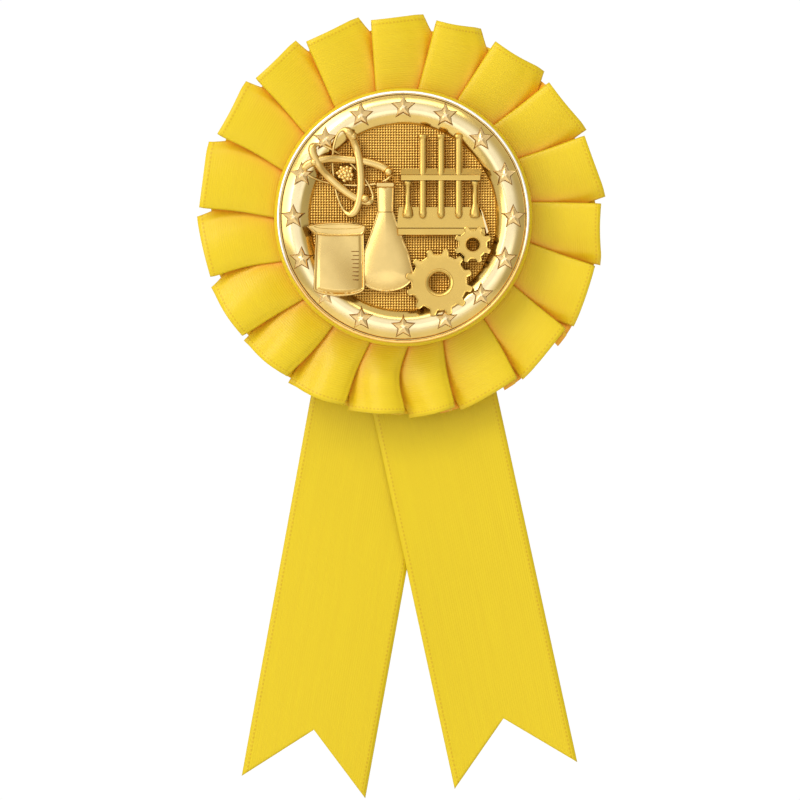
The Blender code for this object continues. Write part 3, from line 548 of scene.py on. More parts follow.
def struck_gold(name, hex_colour, roughness, highlight_hex, tone_from=0.62, tone_to=0.25):
    """Gold anodised aluminium, die struck and lacquered. It is painted paler where it
    faces straight out, a painted highlight, and brown on its steep walls: toning in the
    recesses, painted shade on the other steep sides."""
    finish, tree, shader = new_finish(name, hex_colour, roughness, 1.0)
    shader.inputs["Coat Weight"].default_value = 0.5
    shader.inputs["Coat Roughness"].default_value = 0.12
    shader.inputs["Coat IOR"].default_value = 1.6
    surface = add_node(tree, "NewGeometry")
    facing = add_node(tree, "SeparateXYZ", {0: surface.outputs["Normal"]})
    out = add_node(tree, "Math", {0: facing.outputs[1]}, operation="ABSOLUTE")
    # Steep walls go brown: toning in the recesses, and painted shade on every other steep side.
    wall = add_node(
        tree,
        "MapRange",
        {0: out, "From Min": tone_from, "From Max": tone_to},
        interpolation_type="SMOOTHSTEP",
    )
    # Painted highlight: paler where the surface faces straight out.
    face_on_highlight = add_node(
        tree,
        "MapRange",
        {0: out, "From Min": 0.9, "From Max": 0.999},
        interpolation_type="SMOOTHSTEP",
    )
    highlighted = add_node(
        tree, "Mix", {0: face_on_highlight, 6: linear(hex_colour), 7: linear(highlight_hex)}, data_type="RGBA"
    )
    place = add_node(tree, "TexCoord")
    # Cloudy patches 4 mm across, as wiping leaves.
    cloud = add_node(
        tree,
        "TexNoise",
        {"Vector": place.outputs["Object"], "Scale": 1 / (4 * MM), "Detail": 2.0},
    )
    worn = add_node(
        tree,
        "MapRange",
        {0: cloud, "From Min": 0.35, "From Max": 0.65, "To Min": 0.0, "To Max": 0.12},
    )
    tone = add_node(tree, "Math", {0: wall, 1: worn}, operation="ADD", use_clamp=True)
    colour = add_node(
        tree, "Mix", {0: tone, 6: highlighted.outputs[2], 7: linear("#80601E")}, data_type="RGBA"
    )
    tree.links.new(colour.outputs[2], shader.inputs["Base Color"])
    low, high = roughness * 0.9, roughness * 1.15
    gloss = add_node(
        tree,
        "MapRange",
        {0: cloud, "From Min": 0.35, "From Max": 0.65, "To Min": low, "To Max": high},
    )
    tree.links.new(gloss.outputs[0], shader.inputs["Roughness"])
    return finish


def gold_piece(name, shape, finishes, smooth=None):
    """A part of the medal's relief, as a piece that rides on the rosette."""
    made = new_piece(name, shape, "rosette", finishes, smooth)


POLISHED_GOLD = struck_gold("gold_anodised_polished", "#E0BE66", 0.17, "#F2E0B0", 0.4, 0.1)
SATIN_GOLD = struck_gold("gold_anodised_satin", "#DCB25A", 0.24, "#E3C47A", 0.42, 0.08)
# The matt gold is rougher, and its darker colour is painted shade, for the gears, the rack and
# the beaker's mouth.
MATT_SHADED_GOLD = struck_gold("gold_anodised_matt_shaded", "#CDA548", 0.28, "#D3B058", 0.42, 0.08)
# Recesses keep the brown toning that is wiped off the high parts.
TONED_GOLD = struck_gold("gold_toned_recess", "#86591A", 0.45, "#86591A")


def lip_top_highlight():
    """The lip's gold, painted near white all round its upper side: a painted highlight."""
    finish = struck_gold("gold_anodised_lip_highlight", "#F2BC58", 0.2, "#F2CC80", 0.2, 0.0)
    tree = finish.node_tree
    shader = tree.nodes["Principled BSDF"]
    plain = shader.inputs["Base Color"].links[0].from_socket
    place = add_node(tree, "TexCoord")
    up = add_node(
        tree,
        "VectorMath",
        {0: place.outputs["Object"], 1: (-0.1, 0, 0.995)},
        operation="DOT_PRODUCT",
    )
    # Painted highlight: whiter towards the top of the lip.
    top_highlight = add_node(
        tree,
        "MapRange",
        {0: up.outputs["Value"], "From Min": -13 * MM, "From Max": -2 * MM},
        interpolation_type="SMOOTHSTEP",
    )
    colour = add_node(
        tree, "Mix", {0: top_highlight, 6: plain, 7: linear("#FFFBF2")}, data_type="RGBA"
    )
    tree.links.new(colour.outputs[2], shader.inputs["Base Color"])
    return finish


LIP_HIGHLIGHT_GOLD = lip_top_highlight()

under_dots = FIELD_HEIGHT - 0.25 * MM  # the dotted floor, a piece of its own, lies over it
channel_floor = FIELD_HEIGHT + 0.5 * MM
profile = [(0, under_dots), (FIELD_RADIUS, under_dots)]
for step in range(1, 32):
    share = 0.5 - 0.5 * math.cos(math.pi * step / 32)
    radius = FIELD_RADIUS + (BAND_OUTER - FIELD_RADIUS) * share
    profile.append((radius, band_height(radius)))
profile += [(BAND_OUTER + 0.03 * MM, channel_floor), (CHANNEL_RADIUS, channel_floor)]
lip_middle = (CHANNEL_RADIUS + LIP_RADIUS) / 2
for step in range(9):
    turn = math.pi * step / 8
    radius = lip_middle - (LIP_RADIUS - CHANNEL_RADIUS) / 2 * math.cos(turn)
    profile.append((radius, medal_back + (2.0 + 0.35 * math.sin(turn)) * MM))
profile += [(LIP_RADIUS, medal_back + 0.3 * MM), (LIP_RADIUS - 0.3 * MM, medal_back)]
profile += [(0, medal_back)]
shape = lathe(profile, 256)
for face in shape.faces:
    centre = face.calc_center_median()
    radius = math.hypot(centre.x, centre.z)
    if centre.y < -medal_back - 1 * MM and radius > BAND_OUTER - 0.02 * MM:
        face.material_index = 1 if radius < CHANNEL_RADIUS + 0.02 * MM else 2
finishes = [POLISHED_GOLD, SATIN_GOLD, LIP_HIGHLIGHT_GOLD]
blank = new_piece("medal_blank", shape, "rosette", finishes, smooth=60)
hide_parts("medal")

# ---- dotted field ----
# The gold floor of the medal is stamped with a grid of small square pits, 0.54 mm
# apart, which hold dark toning. The blank's band overlaps its edge.

DOT_PITCH = 0.54 * MM
PIT_DEPTH = 0.14 * MM
DOTS = 72  # in a row
steps = DOTS * 3
shape = bmesh.new()
bmesh.ops.create_grid(shape, x_segments=steps, y_segments=steps, size=DOTS * DOT_PITCH / 2)
for vert in shape.verts:
    across = round((vert.co.x / DOT_PITCH + DOTS / 2) * 3)
    down = round((vert.co.y / DOT_PITCH + DOTS / 2) * 3)
    pit = across % 3 and down % 3
    vert.co = (vert.co.x, -FIELD_HEIGHT + (PIT_DEPTH if pit else 0), vert.co.y)
beyond = [v for v in shape.verts if math.hypot(v.co.x, v.co.z) > FIELD_RADIUS + 0.6 * MM]
bmesh.ops.delete(shape, geom=beyond, context="VERTS")
bmesh.ops.recalc_face_normals(shape, faces=shape.faces)


def dotted_gold(name, ridge_hex, pit_hex):
    """The field's matt gold ridges, toned brown in the pits of the dot grid."""
    finish, tree, shader = new_finish(name, ridge_hex, 0.36, 1.0)
    place = add_node(tree, "TexCoord")
    axes = add_node(tree, "SeparateXYZ", {0: place.outputs["Object"]})
    masks = []
    for axis in (0, 2):
        cells = add_node(
            tree,
            "Math",
            {0: axes.outputs[axis], 1: 1 / DOT_PITCH, 2: 100.0},
            operation="MULTIPLY_ADD",
        )
        part = add_node(tree, "Math", {0: cells, 1: 1.0}, operation="FLOORED_MODULO")
        masks.append(add_node(tree, "Math", {0: part, 1: 0.5, 2: 0.27}, operation="COMPARE"))
    pit = add_node(tree, "Math", {0: masks[0], 1: masks[1]}, operation="MULTIPLY")
    colour = add_node(
        tree, "Mix", {0: pit, 6: linear(ridge_hex), 7: linear(pit_hex)}, data_type="RGBA"
    )
    tree.links.new(colour.outputs[2], shader.inputs["Base Color"])
    return finish


DOTTED_GOLD = dotted_gold("gold_dotted_field", "#DDAF58", "#6F4A12")
gold_piece("medal_field", shape, [DOTTED_GOLD], smooth=10)

# ---- stars on the band ----
# Sixteen pillowed gold stars, all upright, struck in one with the band. Each stands in
# an outline that keeps its brown toning.

STARS = 16
STAR_CIRCLE = 22.1 * MM
STAR_SIZE = 2.3 * MM
STAR_WAIST = 0.47  # a star's inner corners, as a share of its size
BEHIND_BEAKER = 10  # this star lies under the beaker's foot
BEAKER_PRESSES = 0.4 * MM
GEAR_OVER_STARS = (7.25 * MM, -13.2 * MM)  # the large gear's teeth lie over two stars
GEAR_PRESSES = 0.55 * MM
# (share of the size, rise over the band in mm, toned)
STAR_LEVELS = (
    (1.16, -0.5, 1), (1.14, 0.06, 1), (1.02, 0.09, 1), (0.99, 0.3, 0), (0.9, 0.42, 0),
    (0.7, 0.54, 0), (0.45, 0.7, 0), (0.2, 0.82, 0),
)  # fmt: skip

shape = bmesh.new()
for index in range(STARS):
    turn = 2 * math.pi * index / STARS
    centre = (STAR_CIRCLE * math.sin(turn), STAR_CIRCLE * math.cos(turn))
    rings = []
    for scale, rise, toned in STAR_LEVELS:
        corners = bmesh.ops.create_circle(shape, segments=10, radius=1)["verts"]
        for step, vert in enumerate(corners):
            around = math.pi * step / 5
            reach = STAR_SIZE * (STAR_WAIST if step % 2 else 1.0) * scale
            x, z = centre[0] + reach * math.sin(around), centre[1] + reach * math.cos(around)
            follow = band_height(math.hypot(x, z))
            level = follow if toned else 0.45 * follow + 0.55 * BAND_HEIGHT
            if index == BEHIND_BEAKER:
                level -= BEAKER_PRESSES
            clear_of_gear = ease(math.dist((x, z), GEAR_OVER_STARS), 5.4 * MM, 7.6 * MM)
            level -= GEAR_PRESSES * (1 - clear_of_gear)
            vert.co = (x, -(level + rise * MM), z)
        rings.append((list({e for v in corners for e in v.link_edges}), corners, toned))
    for lower, upper in zip(rings, rings[1:]):
        for face in bmesh.ops.bridge_loops(shape, edges=lower[0] + upper[0])["faces"]:
            face.material_index = lower[2]
    shape.faces.new(rings[-1][1])
bmesh.ops.recalc_face_normals(shape, faces=shape.faces)
STAR_GOLD = struck_gold("gold_anodised_star", "#EECB86", 0.22, "#F6E4BA", 0.2, 0.0)
gold_piece("medal_stars", shape, [STAR_GOLD, TONED_GOLD], smooth=24)

# ---- emblem: glassware ----
# A beaker and a flask in low relief, struck in gold like the rest of the medal. Each has
# a fine raised outline round a softly crowned body, and the beaker rises over the band.

CLIMB_FROM, BAND_CREST = 12, 20.5  # mm from the middle, where a relief starts to climb


def arc(centre, reach_x, reach_z, start, end, steps):
    """Points on an ellipse, from start to end degrees, counter-clockwise from +X."""
    points = []
    for step in range(steps + 1):
        turn = math.radians(start + (end - start) * step / steps)
        x, z = centre[0] + reach_x * math.cos(turn), centre[1] + reach_z * math.sin(turn)
        points.append((x, z))
    return points


def inset_of(x, z, outline):
    """How far a point lies in from an outline's nearest edge."""
    nearest = 99.0
    for (ax, az), (bx, bz) in zip(outline, outline[1:] + outline[:1]):
        ex, ez = bx - ax, bz - az
        along = ((x - ax) * ex + (z - az) * ez) / (ex * ex + ez * ez + 1e-12)
        along = min(max(along, 0.0), 1.0)
        nearest = min(nearest, math.hypot(x - ax - along * ex, z - az - along * ez))
    return nearest


def edges_at(z, outline):
    """Where a level line crosses an outline: its leftmost and rightmost x."""
    found = []
    for (ax, az), (bx, bz) in zip(outline, outline[1:] + outline[:1]):
        if (az - z) * (bz - z) <= 0 and az != bz:
            found.append(ax + (bx - ax) * (z - az) / (bz - az))
    return min(found), max(found)


def struck(name, outline, rise, finish=SATIN_GOLD, columns=44, rows=56, climb=0.0):
    """A relief that fills an outline of (x, z) millimetres, which any level line
    crosses twice. rise(inset, u, v) is its height over the field, from the distance in
    from the outline and the place across (-1 to 1) and up (0 to 1). climb is how much
    more it rises towards the band."""
    low, high = min(z for _, z in outline), max(z for _, z in outline)
    shape = bmesh.new()
    bmesh.ops.create_grid(shape, x_segments=columns, y_segments=rows, size=0.5)
    for vert in shape.verts:
        u, v = math.sin(math.pi * vert.co.x), 0.5 + 0.5 * math.sin(math.pi * vert.co.y)
        z = low + (high - low) * min(max(v, 0.0004), 0.9996)
        left, right = edges_at(z, outline)
        x = (left + right) / 2 + (right - left) / 2 * u
        edge = abs(vert.co.x) > 0.4999 or abs(vert.co.y) > 0.4999
        inset = 0.0 if edge else inset_of(x, z, outline)
        climbed = climb * ease(math.hypot(x, z), CLIMB_FROM, BAND_CREST)
        up = -0.3 if edge else rise(inset, u, v) + climbed
        vert.co = (x * MM, -FIELD_HEIGHT - up * MM, z * MM)
    bmesh.ops.recalc_face_normals(shape, faces=shape.faces)
    if any(face.normal.y > 0.2 for face in shape.faces):
        bmesh.ops.reverse_faces(shape, faces=shape.faces)
    gold_piece(name, shape, [finish], smooth=48)


def rounded_slab(height, soften=0.22):
    """A flat relief with softened edges."""
    return lambda inset, u, v: height * (0.35 + 0.65 * ease(inset, 0.0, soften))


def beaker_rise(inset, u, v):
    """A raised bead just inside the outline, round a belly that is highest midway."""
    bead = 0.28 * (1 - ease(abs(inset - 0.28), 0.1, 0.28))
    belly = 0.55 * (1 - u * u)
    return 0.55 + 0.3 * ease(inset, 0, 0.12) + bead + belly * ease(inset, 0.5, 1.3)


beaker = [(-17.6, -2.6), (-17.9, -8.0), (-18.05, -14.6)]
beaker += arc((-12.9, -14.5), 5.15, 1.5, 190, 350, 16)
beaker += [(-7.65, -14.6), (-7.7, -8.0), (-7.8, -2.6)]
BEAKER_CLIMB, COLLAR_CLIMB = 1.5, 1.2
struck("medal_beaker", beaker, beaker_rise, climb=BEAKER_CLIMB, columns=60, rows=60)

collar = [(-19.3, -2.0), (-18.4, -2.9), (-17.6, -3.6)]
collar += [(-15.0, -3.95), (-12.0, -3.95), (-8.2, -3.75), (-7.7, -3.1), (-7.45, -2.0)]
collar += arc((-13.2, -2.0), 5.8, 0.98, 8, 160, 14)
struck(
    "medal_beaker_rim",
    collar,
    lambda inset, u, v: 1.3 + 0.4 * ease(inset, 0, 0.3) - 0.2 * (1 - v) * ease(inset, 0.2, 0.6),
    climb=COLLAR_CLIMB,
)
mouth = arc((-13.0, -2.0), 4.95, 0.52, 0, 359, 24)
struck(
    "medal_beaker_mouth",
    mouth,
    lambda inset, u, v: 1.75 - 0.45 * ease(inset, 0.05, 0.3),
    finish=MATT_SHADED_GOLD,
    rows=16,
    climb=COLLAR_CLIMB,
)

# Graduation marks: eight bars, long and short in turn, filled with toning.
shape = bmesh.new()
for index in range(8):
    wide = (1.55 if index % 2 == 0 else 1.25) * MM
    z = (-6.95 - 0.81 * index) * MM
    made = bmesh.ops.create_cube(shape, size=1)["verts"]
    bmesh.ops.scale(shape, vec=(wide, 0.3 * MM, 0.2 * MM), verts=made)
    climbed = BEAKER_CLIMB * ease(math.hypot(9.5, z / MM), CLIMB_FROM, BAND_CREST)
    middle = (-8.9 * MM - wide / 2, -FIELD_HEIGHT - (1.24 + climbed) * MM, z)
    bmesh.ops.translate(shape, vec=middle, verts=made)
bmesh.ops.bevel(
    shape,
    geom=shape.edges,
    offset=0.06 * MM,
    segments=2,
    profile=0.5,
    affect="EDGES",
    material=-1,
)
gold_piece("medal_graduations", shape, [TONED_GOLD], smooth=40)


def flask_rise(inset, u, v):
    """A fine raised rim, round a body that is highest where the flask is widest."""
    rim = 0.18 * (1 - ease(abs(inset - 0.16), 0.06, 0.2))
    body = 0.95 * (1 - (1 - min(inset / 4.6, 1)) ** 2)
    return 0.45 + 0.2 * ease(inset, 0, 0.1) + rim + body


flask = [(-5.4, 7.1), (-5.15, 1.2), (-6.4, -2.6), (-8.3, -7.9), (-9.0, -11.4)]
flask += arc((-3.45, -11.6), 5.6, 3.5, 180, 360, 26)[1:-1]
flask += [(2.15, -11.4), (1.4, -7.9), (-0.65, -2.6), (-1.95, 1.2), (-1.75, 7.1)]
struck("medal_flask", flask, flask_rise, columns=60, rows=72)
lip = [(-5.65, 5.7), (-1.65, 5.7), (-1.5, 6.5), (-1.75, 7.2), (-5.45, 7.2), (-5.75, 6.5)]
struck("medal_flask_lip", lip, rounded_slab(1.75, 0.4), columns=30, rows=20)
seam = [(-5.1, 0.85), (-1.95, 0.85), (-1.95, 1.15), (-5.1, 1.15)]
struck("medal_flask_seam", seam, rounded_slab(1.45, 0.1), TONED_GOLD, columns=20, rows=10)

# ---- emblem: test tube rack ----
# A shelf on two turned posts over a sloping foot, with three tubes through the shelf.
# All of it is struck in the same gold, and the upper faces slope back from the viewer.

POST_FLATNESS = 0.8  # a tube's or post's depth, as a share of its width


def turned_post(shape, x, sections, height):
    """Adds an upright, turned about its own vertical axis. sections are (z, radius) in
    millimetres from the top down, closed at both ends."""
    ends = (sections[0][0], 0), (sections[-1][0], 0)
    points = [(r * MM, 0, z * MM) for z, r in (ends[0], *sections, ends[1])]
    spun = turned(points, (0, 0, 1), 24)
    bmesh.ops.scale(spun, vec=(1, POST_FLATNESS, 1), verts=spun.verts)
    bmesh.ops.translate(spun, vec=(x * MM, -FIELD_HEIGHT - height, 0), verts=spun.verts)
    mesh = bpy.data.meshes.new("post")
    spun.to_mesh(mesh)
    spun.free()
    shape.from_mesh(mesh)
    bpy.data.meshes.remove(mesh)


shape = bmesh.new()
tube = [(16.6, 0.7), (16.5, 0.95), (16.1, 1.0), (15.85, 0.78), (15.5, 0.72), (1.4, 0.72)]
tube += [(0.9, 0.78), (0.3, 0.72), (-0.1, 0.45), (-0.28, 0.15)]
for x in (3.93, 7.6, 11.16):
    turned_post(shape, x, tube, 0.95 * MM)
post = [(7.1, 0.8), (6.6, 0.8), (6.3, 0.55), (2.9, 0.52), (2.3, 0.7), (1.5, 1.0), (0.4, 1.15)]
post += [(0.0, 0.95), (-0.15, 0.5)]
for x in (0.9, 14.4):
    turned_post(shape, x, post, 0.75 * MM)
gold_piece("medal_rack_tubes", shape, [MATT_SHADED_GOLD], smooth=40)

shelf_top = [(-0.6, 8.5), (15.8, 8.5), (15.5, 9.75), (-0.4, 9.75)]
struck("medal_rack_shelf", shelf_top, lambda inset, u, v: 1.5 - 0.9 * v, MATT_SHADED_GOLD, rows=20)
shelf_edge = [(-0.75, 7.05), (15.75, 7.05), (15.85, 8.7), (-0.75, 8.7)]
struck("medal_rack_shelf_edge", shelf_edge, rounded_slab(1.95, 0.35), MATT_SHADED_GOLD, rows=24)
foot_top = [(-1.3, -2.2), (16.5, -2.2), (15.4, 2.0), (-0.9, 2.0)]
struck("medal_rack_foot", foot_top, lambda inset, u, v: 1.1 - 0.75 * v, MATT_SHADED_GOLD, rows=24)
foot_edge = [(-1.35, -3.95), (16.9, -3.95), (16.6, -2.0), (-1.35, -2.0)]
struck("medal_rack_foot_edge", foot_edge, rounded_slab(1.35, 0.4), MATT_SHADED_GOLD, rows=24)
foot_end = [(16.6, -3.9), (17.5, -3.2), (16.2, 1.2), (15.6, 2.0), (15.2, 2.0)]
struck(
    "medal_rack_foot_end", foot_end, rounded_slab(1.3, 0.3), POLISHED_GOLD, rows=24, columns=16
)

# ---- emblem: gears ----
# Two meshing spur gears in gold relief, with rounded teeth, a chamfered rim and a
# raised ring that slopes into the bore. They climb a little where they reach the band.

GEAR_RISE = 1.75  # mm over the field
TOOTH = (0.0, 0.1, 0.85, 1.0, 1.0, 1.0, 0.85, 0.1, 0.0, 0.0, 0.0, 0.0)  # one tooth and gap


def gear(name, centre, root, tip, bore, teeth, phase):
    """A flat gear. Sizes are radii in millimetres, and phase is in teeth."""
    ring, wide = 0.3 + 0.3 * bore, root - bore
    # (reach beyond the teeth's outline, rise over GEAR_RISE), then (reach from the bore,
    # rise over GEAR_RISE)
    outer = ((0.1, -1.95), (0.08, -0.3), (0.0, -0.06), (-0.12, 0.0), (-0.3, -0.06))
    inner = (
        (0.85 * wide, -0.07), (0.6 * wide, -0.08), (ring + 0.2, -0.09), (ring, -0.08),
        (0.9 * ring, 0.06), (0.72 * ring, 0.05), (0.22 * ring, -0.28), (0.04, -0.5),
        (0.0, -1.95),
    )  # fmt: skip
    rows = len(outer) + len(inner) - 1
    around = teeth * len(TOOTH)
    shape = bmesh.new()
    bmesh.ops.create_grid(shape, x_segments=around, y_segments=rows, size=0.5)
    for vert in shape.verts:
        step = round((vert.co.x + 0.5) * around) % around
        row = round((vert.co.y + 0.5) * rows)
        beyond, rise = (outer + inner)[row]
        from_tooth = root + (tip - root) * TOOTH[step % len(TOOTH)]
        reach = (from_tooth if row < len(outer) else bore) + beyond
        turn = 2 * math.pi * (step / around + phase / teeth)
        x, z = centre[0] + reach * math.cos(turn), centre[1] + reach * math.sin(turn)
        rise += GEAR_RISE
        if rise > 0:
            rise += 0.35 * ease(math.hypot(x, z), 13, 21)
        vert.co = (x * MM, -FIELD_HEIGHT - rise * MM, z * MM)
    bmesh.ops.remove_doubles(shape, verts=shape.verts, dist=0.0005 * MM)
    bmesh.ops.recalc_face_normals(shape, faces=shape.faces)
    gold_piece(name, shape, [MATT_SHADED_GOLD], smooth=40)


gear("medal_gear_large", (7.25, -13.2), 5.6, 6.75, 1.95, 12, 0.28)
gear("medal_gear_small", (14.0, -5.55), 2.95, 3.8, 1.0, 8, 0.15)

# ---- emblem: atom ----
# A cluster of small gold balls and three orbits, thick where they pass in front and
# thin where they pass behind. They lie over the band where they cross it.

ORBIT_THICK, ORBIT_THIN = 0.85, 0.24  # radii in mm


def orbit(name, centre, lean, reach, depth, front_at, lift):
    """One elliptical orbit. front_at is the degrees along it where it is thickest."""
    around, section = 120, 12
    lean_cos, lean_sin = math.cos(math.radians(lean)), math.sin(math.radians(lean))
    shape = bmesh.new()
    bmesh.ops.create_grid(shape, x_segments=around, y_segments=section, size=0.5)
    for vert in shape.verts:
        turn = 2 * math.pi * vert.co.x
        round_tube = 2 * math.pi * vert.co.y
        near = 0.5 + 0.5 * math.cos(turn - math.radians(front_at))
        tube = ORBIT_THIN + (ORBIT_THICK - ORBIT_THIN) * ease(near, 0.3, 0.62)
        slope = Vector((-reach * math.sin(turn), depth * math.cos(turn))).normalized()
        flat = Vector((reach * math.cos(turn), depth * math.sin(turn)))
        flat += Vector((slope.y, -slope.x)) * (tube * math.cos(round_tube))
        x = centre[0] + flat.x * lean_cos - flat.y * lean_sin
        z = centre[1] + flat.x * lean_sin + flat.y * lean_cos
        ground = 1.35 * ease(math.hypot(x, z), 16.5, 20.5)
        rise = ground + lift + 0.55 * near + tube * 0.7 * math.sin(round_tube)
        vert.co = (x * MM, -FIELD_HEIGHT - rise * MM, z * MM)
    bmesh.ops.remove_doubles(shape, verts=shape.verts, dist=0.0005 * MM)
    bmesh.ops.recalc_face_normals(shape, faces=shape.faces)
    gold_piece(name, shape, [SATIN_GOLD])


orbit("medal_orbit_level", (-11.25, 9.0), -4, 8.6, 2.6, 95, 0.15)
orbit("medal_orbit_upright", (-11.35, 9.0), 94.8, 8.5, 2.75, 262, 0.5)
orbit("medal_orbit_slant", (-12.2, 8.8), -43, 8.0, 2.5, 268, 0.35)

NUCLEUS = (-11.65, 8.75)  # its middle, in mm
BALLS = 19
shape = bmesh.new()
made = bmesh.ops.create_uvsphere(shape, u_segments=32, v_segments=16, radius=1)["verts"]
bmesh.ops.scale(shape, vec=(1.9 * MM, 1.05 * MM, 1.9 * MM), verts=made)
bmesh.ops.translate(shape, vec=(NUCLEUS[0] * MM, -FIELD_HEIGHT, NUCLEUS[1] * MM), verts=made)
for index in range(BALLS):
    turn = index * math.radians(137.5)
    reach = 1.6 * math.sqrt(index / (BALLS - 1))
    place = (NUCLEUS[0] + reach * math.cos(turn), NUCLEUS[1] + reach * math.sin(turn))
    made = bmesh.ops.create_icosphere(shape, subdivisions=2, radius=0.52 * MM)["verts"]
    rise = FIELD_HEIGHT + (0.8 - 0.15 * reach**2) * MM
    bmesh.ops.translate(shape, vec=(place[0] * MM, -rise, place[1] * MM), verts=made)
# The thick parts of the orbits end in round knobs.
knobs = ((-10.1, 16.2, 1.6), (-7.7, 3.7, 0.95), (-17.9, 11.0, 1.9), (-3.0, 9.1, 0.7))
for x, z, lift in knobs:
    made = bmesh.ops.create_icosphere(shape, subdivisions=3, radius=0.95 * MM)["verts"]
    bmesh.ops.translate(shape, vec=(x * MM, -FIELD_HEIGHT - lift * MM, z * MM), verts=made)
gold_piece("medal_nucleus", shape, [SATIN_GOLD])

# ---- cards, foam and thread ----
# Die-cut boards and closed-cell foam tape that hold the rosette together from behind,
# and the polyester thread that gathers the pleats.


def matt_board(name, hex_colour, roughness, grain, depth):
    """Pulp board or foam. Matt and even, with a fine random texture of grain
    millimetres."""
    finish, tree, shader = new_finish(name, hex_colour, roughness)
    place = add_node(tree, "TexCoord")
    fibre = add_node(
        tree,
        "TexNoise",
        {"Vector": place.outputs["Object"], "Scale": 1 / (grain * MM), "Detail": 5.0},
    )
    tone = add_node(
        tree,
        "MapRange",
        {0: fibre, "From Min": 0.3, "From Max": 0.7, "To Min": 0.92, "To Max": 1.0},
    )
    colour = add_node(
        tree,
        "Mix",
        {0: 1.0, 6: linear(hex_colour), 7: tone},
        data_type="RGBA",
        blend_type="MULTIPLY",
    )
    tree.links.new(colour.outputs[2], shader.inputs["Base Color"])
    bump = add_node(tree, "Bump", {"Height": fibre, "Strength": 0.3, "Distance": depth * MM})
    tree.links.new(bump.outputs[0], shader.inputs["Normal"])
    return finish


def finish_node(name, finish):
    """Gives a piece that the frame already holds its material."""
    for material_slot in nodes[name].material_slots:
        material_slot.link = "OBJECT"
        material_slot.material = finish


WHITE_BOARD = matt_board("white_coated_board", "#F1EFE9", 0.6, 0.5, 0.02)
GREY_BOARD = matt_board("grey_pulp_board", "#A39C8F", 0.9, 0.4, 0.05)
FOAM_TAPE = matt_board("white_polyethylene_foam", "#F4F3EE", 0.85, 0.25, 0.06)
THREAD = matt_board("yellow_polyester_thread", "#D8A81E", 0.7, 0.15, 0.05)
finish_node("back_card", WHITE_BOARD)
finish_node("pleat_card", GREY_BOARD)
finish_node("button_card", GREY_BOARD)
for pad in ("back_card_tape", "button_pad", "medal_pad", "pin_pad"):
    finish_node(pad, FOAM_TAPE)
finish_node("gathering_thread", THREAD)

# ---- pin and staples ----
# Nickel-plated steel: two wire staples, and a bar pin with a hinged wire and a turning
# catch that locks it.


def nickel_plate(name):
    """Bright nickel on steel, barrel plated: slightly warm grey and glossy, a little
    duller in patches 3 mm across."""
    finish, tree, shader = new_finish(name, "#CFCBC4", 0.22, 1.0)
    place = add_node(tree, "TexCoord")
    marks = add_node(
        tree,
        "TexNoise",
        {"Vector": place.outputs["Object"], "Scale": 1 / (3 * MM), "Detail": 2.0},
    )
    gloss = add_node(
        tree,
        "MapRange",
        {0: marks, "From Min": 0.3, "From Max": 0.7, "To Min": 0.18, "To Max": 0.26},
    )
    tree.links.new(gloss.outputs[0], shader.inputs["Roughness"])
    return finish


NICKEL = nickel_plate("nickel_plated_steel")
for wire in ("staple_upper", "staple_lower", "pin_rivet", "pin_arm"):
    finish_node(wire, NICKEL)
for stamping in ("pin_base", "catch_housing", "catch_sleeve"):
    finish_node(stamping, NICKEL)

# ---- studio ----
# A pale round floor well below the ribbon and a white room. The softboxes stand up in
# front on the left, at the left, above, low in front as a fill, and behind.

# Matt white studio paint, with a faint roller texture.
FLOOR_PAINT = matt_board("white_studio_floor", "#F4F3F1", 0.8, 6.0, 0.1)
shape = bmesh.new()
bmesh.ops.create_circle(shape, cap_ends=True, segments=128, radius=1.1)
bmesh.ops.translate(shape, vec=(0, 0, -0.6), verts=shape.verts)
floor_mesh = bpy.data.meshes.new("studio_floor")
shape.to_mesh(floor_mesh)
shape.free()
floor_mesh.materials.append(FLOOR_PAINT)
in_scene("studio_floor", floor_mesh)

room = bpy.data.worlds.new("white_room")
bpy.context.scene.world = room
room.use_nodes = True
air = room.node_tree
sky = air.nodes["Background"]
look = add_node(air, "TexCoord")
ways = add_node(air, "SeparateXYZ", {0: look.outputs["Generated"]})
behind = add_node(
    air,
    "MapRange",
    {0: ways.outputs[1], "From Min": 0.0, "From Max": 0.5},
    interpolation_type="SMOOTHSTEP",
)
# In front, the room is brightest up on the left and falls away down on the right.
slope = add_node(
    air,
    "VectorMath",
    {0: look.outputs["Generated"], 1: (-0.62, 0.0, 0.78)},
    operation="DOT_PRODUCT",
)
fall = add_node(
    air,
    "MapRange",
    {0: slope.outputs[1], "From Min": -0.8, "From Max": 0.8, "To Min": 0.55, "To Max": 0.88},
)
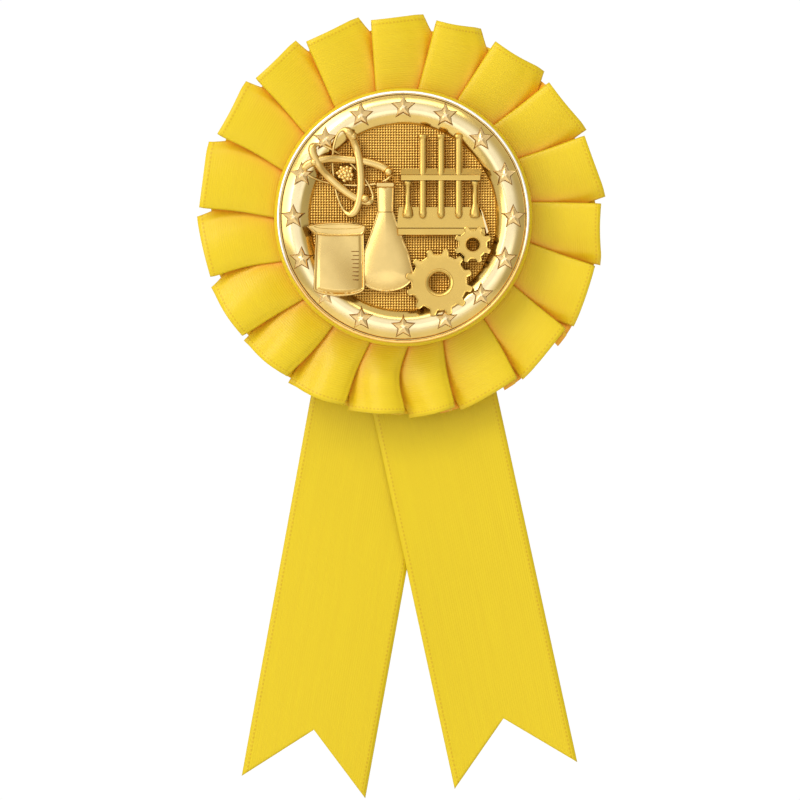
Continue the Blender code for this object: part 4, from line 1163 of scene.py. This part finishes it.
# A pale wall faces the ribbon from behind the camera.
facing_wall = add_node(
    air,
    "MapRange",
    {0: ways.outputs[1], "From Min": -0.72, "From Max": -0.95, "To Min": 0.0, "To Max": 0.4},
    interpolation_type="SMOOTHSTEP",
)
level = add_node(air, "Math", {0: fall, 1: facing_wall}, operation="ADD")
front_room = add_node(
    air,
    "Mix",
    {0: 1.0, 6: (1.0, 0.99, 0.97, 1), 7: level},
    data_type="RGBA",
    blend_type="MULTIPLY",
)
whole = add_node(
    air,
    "Mix",
    {0: behind, 6: front_room.outputs[2], 7: (1.02, 1.02, 1.02, 1)},
    data_type="RGBA",
)
air.links.new(whole.outputs[2], sky.inputs[0])


AIM = Vector((0, 0, -0.02))  # what every softbox faces, in metres


def softbox(name, place, size, watts):
    """A rectangular light of size metres, at place, that faces the ribbon."""
    light = bpy.data.lights.new(name, "AREA")
    light.shape = "RECTANGLE"
    light.size, light.size_y = size
    light.energy = watts
    lamp = in_scene(name, light)
    lamp.location = place
    lamp.rotation_euler = (AIM - Vector(place)).to_track_quat("-Z", "Y").to_euler()


softbox("key_softbox", (-0.55, -0.75, 0.7), (0.55, 0.55), 4.0)
softbox("side_softbox", (-0.9, -0.8, 0.12), (0.7, 0.6), 3.4)
softbox("top_softbox", (0.1, -0.8, 0.9), (0.8, 0.2), 1.5)
softbox("low_fill", (0.1, -1.2, -0.5), (1.6, 0.9), 1.8)
softbox("back_fill", (0.4, 1.1, 0.5), (0.8, 0.8), 3.0)

CAMERA_AWAY = 2.0  # metres in front of the origin
SENSOR = 36  # mm
FACE_AT = 0.010  # metres from the origin to the plane that the view is framed on
VIEW_WIDTH = 0.1613  # metres across the view, on that plane
lens = bpy.data.cameras.new("front_camera")
lens.sensor_width = SENSOR
lens.lens = SENSOR * (CAMERA_AWAY - FACE_AT) / VIEW_WIDTH
lens.clip_start = 0.05
lens.clip_end = 20
camera = in_scene("front_camera", lens)
camera.location = (-0.65 * MM, -CAMERA_AWAY, -36.8 * MM)
camera.rotation_euler = (math.radians(90), 0, 0)
bpy.context.scene.camera = camera
bpy.context.scene.view_settings.view_transform = "Standard"
